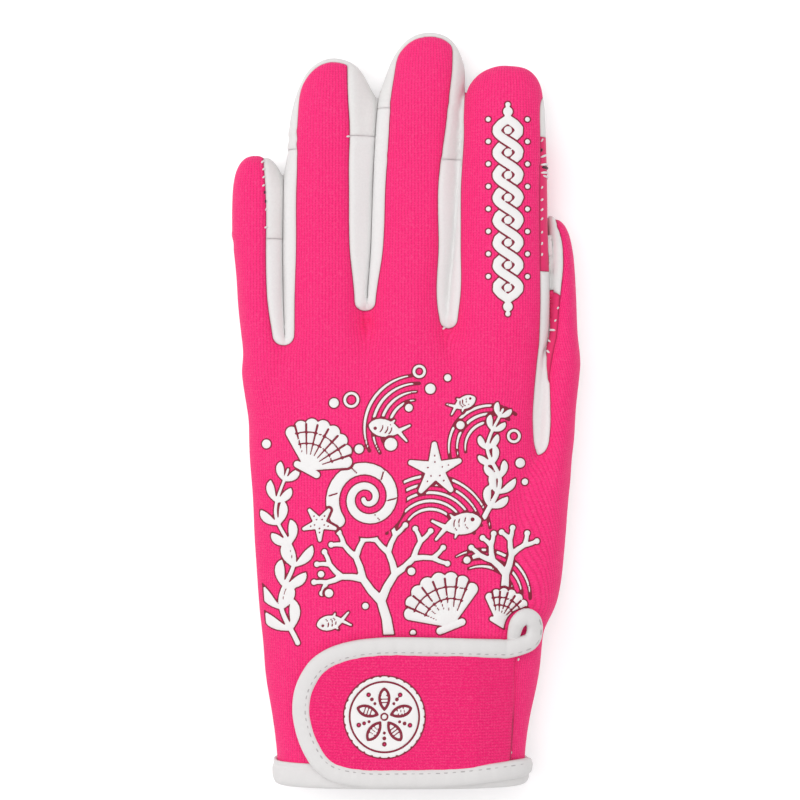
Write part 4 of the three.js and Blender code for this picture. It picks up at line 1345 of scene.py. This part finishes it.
def make_strap_binding():
    """A puffy tape round the strap's edge, with a stitched crease, ending in a curl at the top right."""
    run = inset_path(STRAP_BAND / 2)
    run = run[(run[:, 0] < 33.5) | (run[:, 1] < 20)][::4]
    out = np.interp(run[:, 0], [22, 35], [3.25, 2.3])
    body = [(x, y, o, STRAP_BAND, TAPE_HEIGHT) for (x, y), o in zip(run, out)]
    path, at = smooth_path([*CURL, *body, *BINDING_END], 0.7)
    x, y, out, width, height = path.T
    place, up = lying(x, y, out)
    forward = unit(np.gradient(place, axis=0))
    side = unit(np.cross(up, forward))
    up = np.cross(forward, side)
    count = 26
    turn = np.linspace(0, 2 * np.pi, count, endpoint=False)
    a, b = squarer(np.cos(turn), TAPE_ROUND), squarer(np.sin(turn), TAPE_ROUND)
    a, b = a[None, :] * width[:, None] / 2, b[None, :] * height[:, None] / 2
    pucker = 0.05 * np.sin(at * 2 * np.pi / 6.3 + 1.7 * np.sin(at / 11)) + 0.03 * np.sin(at * 2 * np.pi / 2.9)
    drawn_in = 0.2 + 0.1 * np.cos(at * 2 * np.pi / STITCH_PITCH)
    crease = np.exp(-(((a - CREASE_PLACE) / 0.4) ** 2)) * drawn_in[:, None]
    b = np.where(b > 0, b * (1 + pucker)[:, None] - crease, b)
    rings = place[:, None, :] + a[:, :, None] * side[:, None, :] + b[:, :, None] * up[:, None, :]
    points, faces, tape = rings.reshape(-1, 3), capped_tube(len(path), count), materials["binding"]
    piece("glove_strap_binding", points, faces, tape, "white_binding", "strap_binding")
    return place, side, up, at


binding_path = make_strap_binding()

# Section of the hem's folded tape: distance out from the hand, and place along it
HEM_SECTION = smooth_path([
    (0.35, 5.9), (0.9, 6.3), (1.5, 5.8), (1.35, 5.0), (1.8, 4.0), (2.0, 2.2), (1.9, 0.4), (1.3, -1.0),
    (0.0, -1.6), (-1.6, -1.5), (-3.0, -0.9), (-3.4, 1.0), (-3.4, 4.6), (-3.0, 6.1), (-2.2, 5.9),
], 0.45)[0]


def make_hem_binding():
    """The tape folded over the hem: a ring of the hand's shape for each point of its section."""
    count = 260
    turn = np.linspace(0, 2 * np.pi, count, endpoint=False)
    c, s = np.cos(turn), np.sin(turn)
    p = np.where(s > 0, *HAND_ROUNDNESS)
    c, s = squarer(c, p), squarer(s, p)
    profile = np.concatenate([HEM_SECTION, [(-2.1, 3.0), (-2.1, -0.3), (0.3, -0.3), (0.35, 3.0)]])
    rings = []
    for out, y in profile:
        here = max(y, 0.0)
        up, down = hand.reach(here)
        size = np.where(s > 0, up + out, down + min(out, 1.4))
        wrinkle = 0.10 * np.sin(turn * 37 + y) * np.sin(turn * 11 + 0.6) if out > 1 else 0.0
        x = hand.centre(here) + (hand.half(here) + out + wrinkle) * c
        z = hand.middle(here) + (size + wrinkle) * s
        rings.append(np.stack([x, np.full(count, y), np.maximum(z, 0.05)], 1))
    points = np.concatenate(rings)
    faces = tube_faces(len(profile), count, closed=True)[:, ::-1]
    piece("glove_hem_binding", points, faces, materials["binding"], "white_binding", "hem_binding")


make_hem_binding()

# ---------------------------------------------------------------- prints


def polar(x, y, radius, degrees):
    """Places at some distance and angle from a point."""
    turn = np.radians(degrees)
    return np.stack([x + radius * np.cos(turn), y + radius * np.sin(turn)], -1)


def arc(x, y, radius, start, end, steps=14):
    return polar(x, y, radius, np.linspace(start, end, steps))


def directions(degrees):
    """The direction at an angle, and the one to its left."""
    d = polar(0, 0, 1, degrees)
    return d, np.array([-d[1], d[0]])


def taper(steps, widest, where=0.5, tip=0.25):
    """Widths of a stroke that swells in the middle."""
    t = np.linspace(0, 1, steps)
    t = np.where(t < where, t / where, (1 - t) / (1 - where))
    return widest * (tip + (1 - tip) * np.sin(t * np.pi / 2))


def laid(draw):
    """Turns a function that draws a shape into one that lays it over a drawing, with a clear margin."""

    def draw_over(plan, *values):
        own = plan.blank()
        draw(own, *values)
        plan.lay(own)

    return draw_over


@laid
def shell(own, x, y, radius, turn, ribs=8, spread=58):
    """A scallop: a fan with a scalloped rim and grooves that run out from its hinge."""
    hinge, step = np.array([x, y], float), 2 * spread / ribs
    for k in range(ribs):
        share = abs(2 * (k + 0.5) / ribs - 1)
        reach = radius * (1 - 0.16 * share**2)
        d, _ = directions(turn - spread + step * (k + 0.5))
        widest = 2.1 * reach * math.radians(step) / 2
        own.stroke([hinge + d * reach * 0.1, hinge + d * reach * 0.9], [1.0, widest])
    for k in range(1, ribs):
        d, _ = directions(turn - spread + step * k)
        own.stroke([hinge + d * radius * 0.3, hinge + d * radius * 0.9], [0.35, 0.75], erase=True)
    _, across = directions(turn)
    own.stroke([hinge - across * radius * 0.22, hinge + across * radius * 0.22], radius * 0.13)
    for share in (0.52, 0.74):
        groove = arc(x, y, radius * share, turn - spread * 0.8, turn + spread * 0.8, 12)
        own.stroke(groove, 0.5, erase=True)


@laid
def kelp(own, points, leaf, pairs, seed):
    """A waving stem with pointed leaves on both sides."""
    stem, _ = smooth_path(points, 1.2)
    own.stroke(stem, np.linspace(1.5, 0.7, len(stem)))
    random = np.random.default_rng(seed)
    for k in range(pairs):
        share = 0.1 + 0.84 * k / max(pairs - 1, 1)
        j = min(int(share * (len(stem) - 1)), len(stem) - 2)
        d = stem[j + 1] - stem[j]
        d /= np.linalg.norm(d)
        for side in (-1, 1):
            size = leaf * (1 - 0.45 * share) * random.uniform(0.85, 1.12)
            n = np.array([-d[1], d[0]]) * side
            start = stem[j] + n * 0.3
            t = np.linspace(0, 1, 10)[:, None]
            line = start + (d * 0.75 * t + n * (0.85 * t - 0.42 * t * t)) * size
            own.stroke(line, taper(10, leaf * 0.30 * (1 - 0.3 * share), 0.55, 0.18))


def branch(own, x, y, angle, length, width, depth, spread=31):
    """A branch that forks, with each fork a little thinner, and round tips."""
    bend = angle + 9 * (-1) ** depth
    mid = polar(x, y, length * 0.5, angle)
    end = polar(*mid, length * 0.5, bend)
    own.stroke([(x, y), mid, end], [width, width * 0.86, width * 0.78])
    if depth == 0:
        own.disc(*end, width * 0.62)
        return
    for k, turn in enumerate((-spread, spread)):
        shorter = length * (0.80 - 0.05 * k)
        branch(own, *end, angle + turn + 5 * k, shorter, width * 0.8, depth - 1, spread)


coral, bubble = laid(branch), laid(Drawing.disc)
WHORLS = 2.05


@laid
def snail(own, x, y, radius, turn):
    """A coiled shell: a spiral that widens outwards, with ribs across its last whorl."""
    out = lambda share: radius * (0.10 + 0.90 * share**1.25)
    steps = np.linspace(0, 1, 60)
    widths = radius * (0.12 + 0.24 * steps**1.2)
    own.stroke(polar(x, y, out(steps), turn + 360 * WHORLS * steps), widths)
    for share in (0.62, 0.70, 0.78, 0.86, 0.94):
        angle = turn + 360 * WHORLS * share
        ends = [polar(x, y, out(share) + k * radius * 0.11, angle + math.degrees(0.05 * k)) for k in (-1, 1)]
        own.stroke(ends, 0.5, erase=True)


@laid
def star(own, x, y, radius, turn):
    """A starfish with two pores on each of its five arms."""
    for angle in turn + 72 * np.arange(5):
        own.stroke([(x, y), polar(x, y, radius, angle)], [radius * 0.62, radius * 0.20])
    for angle in turn + 72 * np.arange(5):
        for share in (0.3, 0.55):
            own.disc(*polar(x, y, radius * share, angle), 0.33, erase=True)


def ripples(plan, x, y, radii, start, end):
    """Fine concentric lines, as of light on the sea bed."""
    for k, radius in enumerate(radii):
        lag = 4 * (k % 3)
        steps = max(8, int(abs(end - start) * radius / 60))
        plan.stroke(arc(x, y, radius, start + lag, end - lag, steps), taper(steps, 0.85, 0.5, 0.35))


@laid
def fish(own, x, y, length, turn):
    """A small fish: a body with an eye, gill lines and fins, and a forked tail."""
    d, n = directions(turn)
    at = lambda back, side=0.0: np.array([x, y]) + length * (n * side - d * back)
    own.stroke([at(t) for t in np.linspace(0, 0.74, 12)], taper(12, length * 0.44, 0.42, 0.16))
    for side in (-1, 1):
        own.stroke([at(0.72), at(0.98, 0.2 * side)], [length * 0.1, length * 0.05])
        own.stroke([at(0.42), at(0.58, 0.25 * side)], [length * 0.16, 0.4])
    own.disc(*at(0.14, 0.05), length * 0.036 + 0.12, erase=True)
    for t in (0.27, 0.40, 0.50):
        gill = [at(t + 0.05 * math.cos(1.5 * v), 0.12 * v) for v in np.linspace(-1, 1, 7)]
        own.stroke(gill, 0.42, erase=True)


PRINT_MARGIN = 0.6
PRINT_SIDE = 0.955  # the print's edge, as a share of the hand's half width
CURL_MIDDLE, CURL_REACH = (37.8, 48.5), 6.6


def sea_bed():
    """The reef across the hand's back: shells, kelp, coral, a coiled shell, fish, stars and bubbles."""
    plan = Drawing(-49, 44, 38, 133, 0.40)
    ripples(plan, 8, 78, (8.6, 11.2, 13.8, 16.4, 19.0), 168, 12)
    ripples(plan, 24, 58, (10.5, 13.1, 15.7), 112, 8)
    ripples(plan, 4, 112, (9.0, 11.6, 14.2, 16.8), 205, 96)
    ripples(plan, 27, 106, (8.0, 10.6, 13.2), 190, 60)
    kelp(plan, [(-34, 44), (-39.5, 57), (-35, 71), (-41, 85), (-37, 99)], 11.5, 8, 1)
    kelp(plan, [(25, 84), (30, 95), (26, 106), (31, 118)], 8.5, 7, 3)
    coral(plan, -5, 46, 98, 12.0, 3.4, 4)
    coral(plan, 32, 58, 96, 8.0, 2.8, 3, 28)
    plan.disc(-12, 90, 12.65, erase=True)
    snail(plan, -12, 90, 11.5, 200)
    shell(plan, -31, 99, 16.0, 62)
    shell(plan, 14.5, 49.5, 17.0, 112)
    shell(plan, 29.5, 50.5, 11.0, 58)
    star(plan, 9.5, 99, 8.0, 20)
    star(plan, -27, 82, 5.2, 55)
    fish(plan, 23.5, 83, 15.0, 12)
    fish(plan, -11, 113, 12.5, 168)
    fish(plan, 22, 121.5, 9.0, 24)
    fish(plan, -27.5, 49.8, 10.5, 192)
    for x, y, r in (
        (-4.5, 107, 2.0), (-14.5, 105.5, 1.4), (1.2, 118.5, 1.2), (8, 124.5, 1.6), (13.5, 128, 1.1),
        (-22.5, 120, 1.5), (36.5, 101, 1.5), (38, 95, 1.0), (-44, 107, 1.4), (-24, 60, 1.3), (17.5, 113, 1.3),
        (-12.5, 56, 1.0), (-26.5, 66, 1.0), (2.5, 47.5, 0.9), (2, 67, 1.2), (19.5, 70.5, 1.1),
    ):
        bubble(plan, x, y, r)
    for x, y, r in ((-17, 121, 2.1), (4.5, 130, 1.7), (34.5, 109.5, 1.8)):
        plan.ring(x, y, r, 0.8)
    # clear of the strap, of its binding's curl, of the hand's sides and of the gusset
    closed = np.concatenate([strap_path, [[44, 1.4], [44, 45.3]]])
    plan.only_inside(PRINT_MARGIN - polygon_distance(plan.x, plan.y, closed))
    plan.only_inside(CURL_REACH - np.hypot(plan.x - CURL_MIDDLE[0], plan.y - CURL_MIDDLE[1]))
    share = (plan.x - hand.centre(plan.y)) / hand.half(plan.y)
    plan.only_inside((np.abs(share) - PRINT_SIDE) * 40)
    past_gusset = plan.x - gusset_left(np.maximum(plan.y, 104)) + 1.5
    plan.only_inside(past_gusset + np.where(plan.y < 101, -9, 0))
    return plan


def rope_band():
    """A plaited band along the index finger, with a bead in every eye."""
    plan = Drawing(24, 41.5, 145, 218, 0.36)
    middle, low, high, swing, period, wide = 32.6, 153.0, 210.0, 3.6, 14.25, 2.6

    def run(start, end, phase):
        y = np.linspace(start, end, 40)
        x = middle + swing * np.sin((y - low) / period * 2 * np.pi + phase)
        shape = plan.blank()
        shape.stroke(np.stack([x, y], 1), wide)
        return shape

    for phase in (0, np.pi):
        plan.d = np.minimum(plan.d, run(low, high, phase).d)
    cross = np.arange(low, high + 0.1, period / 2)
    for k, at in enumerate(cross[1:-1]):
        phase = np.pi * (k % 2)
        plan.d = np.maximum(plan.d, 0.62 - run(at - 1.6, at + 1.6, phase).d)
        plan.d = np.minimum(plan.d, run(at - 3.2, at + 3.2, phase).d)
    for at in cross[:-1] + period / 4:
        plan.disc(middle, at, 1.25)
        for side in (-1, 1):
            plan.disc(middle + side * 6.2, at + period / 4, 0.75)
    for end, sign in ((low, -1), (high, 1)):
        plan.disc(middle, end + sign * 2.4, 1.5)
        plan.disc(middle, end + sign * 5.2 * 0.9, 0.8)
    return plan


def sand_dollar():
    """A round sea-urchin's shell with five petals, on the strap."""
    x, y, radius = -6.5, 21.6, 12.6
    plan = Drawing(x - 15, x + 15, y - 15, y + 15, 0.36)
    plan.disc(x, y, radius)
    plan.stroke(arc(x, y, radius - 1.7, 0, 360, 73), 0.62, erase=True)
    for k in range(5):
        d, n = directions(90 + 72 * k)
        at = lambda out, side=0.0: np.array([x, y]) + d * out + n * side
        plan.stroke([at(2.2 + 6.6 * t) for t in np.linspace(0, 1, 12)], taper(12, 3.9, 0.55, 0.2), erase=True)
        plan.stroke([at(3.2 + 4.8 * t) for t in np.linspace(0, 1, 10)], taper(10, 2.2, 0.55, 0.2))
        for t in (0.28, 0.46, 0.64):
            plan.stroke([at(2.9 + 5.6 * t, -1.3), at(2.9 + 5.6 * t, 1.3)], 0.36, erase=True)
        for share, size in ((0.40, 0.5), (0.53, 0.62), (0.67, 0.75)):
            plan.disc(*polar(x, y, radius * share, 126 + 72 * k), size, erase=True)
    plan.disc(x, y, 1.3, erase=True)
    plan.disc(x, y, 0.75)
    for angle in range(0, 360, 12):
        plan.disc(*polar(x, y, radius + 0.1, angle), 0.42, erase=True)
    return plan


printed("print_reef", sea_bed(), skin_tree)
printed("print_rope", rope_band(), skin_tree)
printed("print_urchin", sand_dollar(), strap_tree)

# ---------------------------------------------------------------- stitches

# Stitches in plan: the middle of each, half its reach across and along, and its thickness
STITCH_COLUMNS = "x y dx dy thick"
WHITE_STITCHES = table(STITCH_COLUMNS, """
43.6 188.7 .2  .35 .30
43.6 184.8 .3  .3  .34
43.6 181.6 .3  .3  .34
43.6 178.7 .25 .4  .30
43.6 174.4 .15 .3  .30
43.6 170.8 .1  .4  .30
43.6 167.3 .1  .4  .30
43.7 203.8 .3  .5  .24
44.3 198.8 1.0 .5  .36
44.7 196.2 1.4 .35 .40
44.9 193.6 1.5 .25 .40
45.3 192.2 1.2 -.3 .36
47.2 143.4 .9  -.1 .36
46.3 140.0 .3  -.4 .30
45.9 136.5 .35 -.4 .36
49.0 150.4 .2  .3  .28
48.2 146.4 .2  .3  .28
12.4 143.9 .4  .3  .32
-45.6 197.3 .45 .4 .32
-45.2 194.8 .35 .3 .30
-45.2 192.2 .3  .3 .28
-45.2 189.5 .3  .3 .28
-44.4 181.8 .1  .4 .24
-44.4 176.1 .4  .2 .32
-18.2 205.0 .4  .1 .32
35.9  38.6  .15 .3 .34
33.5  9.2   .1  .4 .30
""")
DARK_STITCHES = table(STITCH_COLUMNS, """
44.9 195.2 1.2 .05 .40
43.5 200.6 .1  .5  .28
-44.9 187.3 .05 .5 .24
-44.6 184.4 .05 .5 .24
""")


FLANK = 9.0  # a stitch whose place lies beside the glove sits at this height
BED = 7  # places under a stitch


def capsule(bed, up, radius, count=8):
    """A short thread that rises in its middle, over the places that it lies on."""
    line = bed + up * (radius * (1.1 * np.sin(np.linspace(0, np.pi, BED)) - 0.35))[:, None]
    d = unit(np.gradient(line, axis=0))
    side = unit(np.cross(d, up))
    top = np.cross(side, d)
    turn = np.linspace(0, 2 * np.pi, count, endpoint=False)
    size = radius * np.sqrt(np.clip(1 - (np.linspace(-1, 1, BED) * 0.96) ** 6, 0, 1))
    ring = np.cos(turn)[None, :, None] * side[:, None, :] + np.sin(turn)[None, :, None] * top[:, None, :]
    points = line[:, None, :] + ring * size[:, None, None]
    return points.reshape(-1, 3), capped_tube(BED, count)


def sew(name, spans, material):
    """One piece of many stitches, each with the places under it, the way out of the cloth and its radius."""
    points, faces, count = [], [], 0
    for bed, up, radius in spans:
        some, their_faces = capsule(bed, up, radius)
        points.append(some)
        faces += [[count + k for k in face] for face in their_faces]
        count += len(some)
    piece(name, np.concatenate(points), faces, materials[material], None)


def on_cloth(rows, tree):
    """Stitches on the skin, or on its flank where a place is beside the glove."""
    for x, y, dx, dy, thick in np.stack(list(rows.values()), 1):
        bed, normals = [], []
        for t in np.linspace(-1, 1, BED):
            px, py = x + dx * t, y + dy * t
            place, normal = dropped(tree, px, py)
            if place.z < FLANK:
                place, normal, _, _ = tree.find_nearest(Vector((px, py, FLANK)))
            bed.append(place)
            normals.append(normal)
        up = np.mean(normals, axis=0)
        yield np.array(bed), unit(up), thick


def along_binding(place, side, up, at):
    """A row of long stitches in the crease of the strap's tape."""
    reach, depth, radius = 0.75, 1.32, 0.17
    for middle in np.arange(14.0, at[-1] - 3, STITCH_PITCH):
        ends = []
        for where in (middle - reach, middle + reach):
            value = lambda v: np.array([np.interp(where, at, column) for column in v.T])
            point, across, away = value(place), value(side), value(up)
            ends.append(point + across * CREASE_PLACE + away * depth)
        yield np.linspace(*ends, BED), away, radius


sew("stitches_white", on_cloth(WHITE_STITCHES, skin_tree), "thread_white")
sew("stitches_dark", on_cloth(DARK_STITCHES, skin_tree), "thread_dark")
sew("stitches_binding", along_binding(*binding_path), "thread_grey")

# ---------------------------------------------------------------- camera, light and floor

PIXEL = 0.32  # millimetres of the glove in a pixel of the 800 pixel wide picture
VIEW_CENTRE = Vector((-1.6, 120.96 + HEM_Y, 14.0))
LENS, SENSOR = 100.0, 36.0
FLOOR_REACH, FLOOR_DROP = 4.0, 0.0004  # metres
PAPER = (0.93, 0.92, 0.925)
# Place, width and power of each soft light over the glove
LIGHTS = {
    "over": ((-0.2, 0.3, 1.5), 1.6, 15.0),
    "left": ((-1.3, 0.1, 0.9), 0.9, 6.0),
    "right": ((1.3, -0.3, 0.9), 0.9, 3.5),
}


def add_camera():
    """A camera straight above the glove, framed as the photo is."""
    camera = placed("camera", bpy.data.cameras.new("camera"))
    camera.data.lens, camera.data.sensor_width = LENS, SENSOR
    distance = 800 * PIXEL / SENSOR * LENS
    camera.location = (VIEW_CENTRE + Vector((0, 0, distance))) * MM
    camera.data.clip_start, camera.data.clip_end = 0.05, 20
    bpy.context.scene.camera = camera


def add_floor():
    mesh = bpy.data.meshes.new("floor")
    round_ = ((-1, -1), (1, -1), (1, 1), (-1, 1))
    corners = [(FLOOR_REACH * i, FLOOR_REACH * j, -FLOOR_DROP) for i, j in round_]
    mesh.from_pydata(corners, [], [(0, 1, 2, 3)])
    paper = Nodes("paper", PAPER, 0.9, 0.1)
    grain = paper.noise(300, 3)
    # painted light: the floor glows a little, which washes out the shadows on it
    paper.shader.inputs["Emission Color"].default_value = (1, 0.995, 0.997, 1)
    paper.shader.inputs["Emission Strength"].default_value = 0.16
    mesh.materials.append(paper.finish(paper.mix(grain, (0.925, 0.915, 0.92), (0.935, 0.925, 0.93))))
    placed("floor", mesh)


def add_lights():
    for name, (place, width, power) in LIGHTS.items():
        light = bpy.data.lights.new(name, "AREA")
        light.size, light.energy = width, power
        lamp = placed(name, light)
        lamp.location = place
        lamp.rotation_euler = (-Vector(place)).to_track_quat("-Z", "Y").to_euler()
    world = bpy.data.worlds.new("studio")
    world.use_nodes = True
    sky = world.node_tree.nodes["Background"].inputs
    sky["Color"].default_value, sky["Strength"].default_value = (1, 0.99, 0.995, 1), 0.48
    bpy.context.scene.world = world


add_camera()
add_floor()
add_lights()
bpy.context.scene.view_settings.view_transform = "Standard"
bpy.context.scene.view_settings.look = "None"
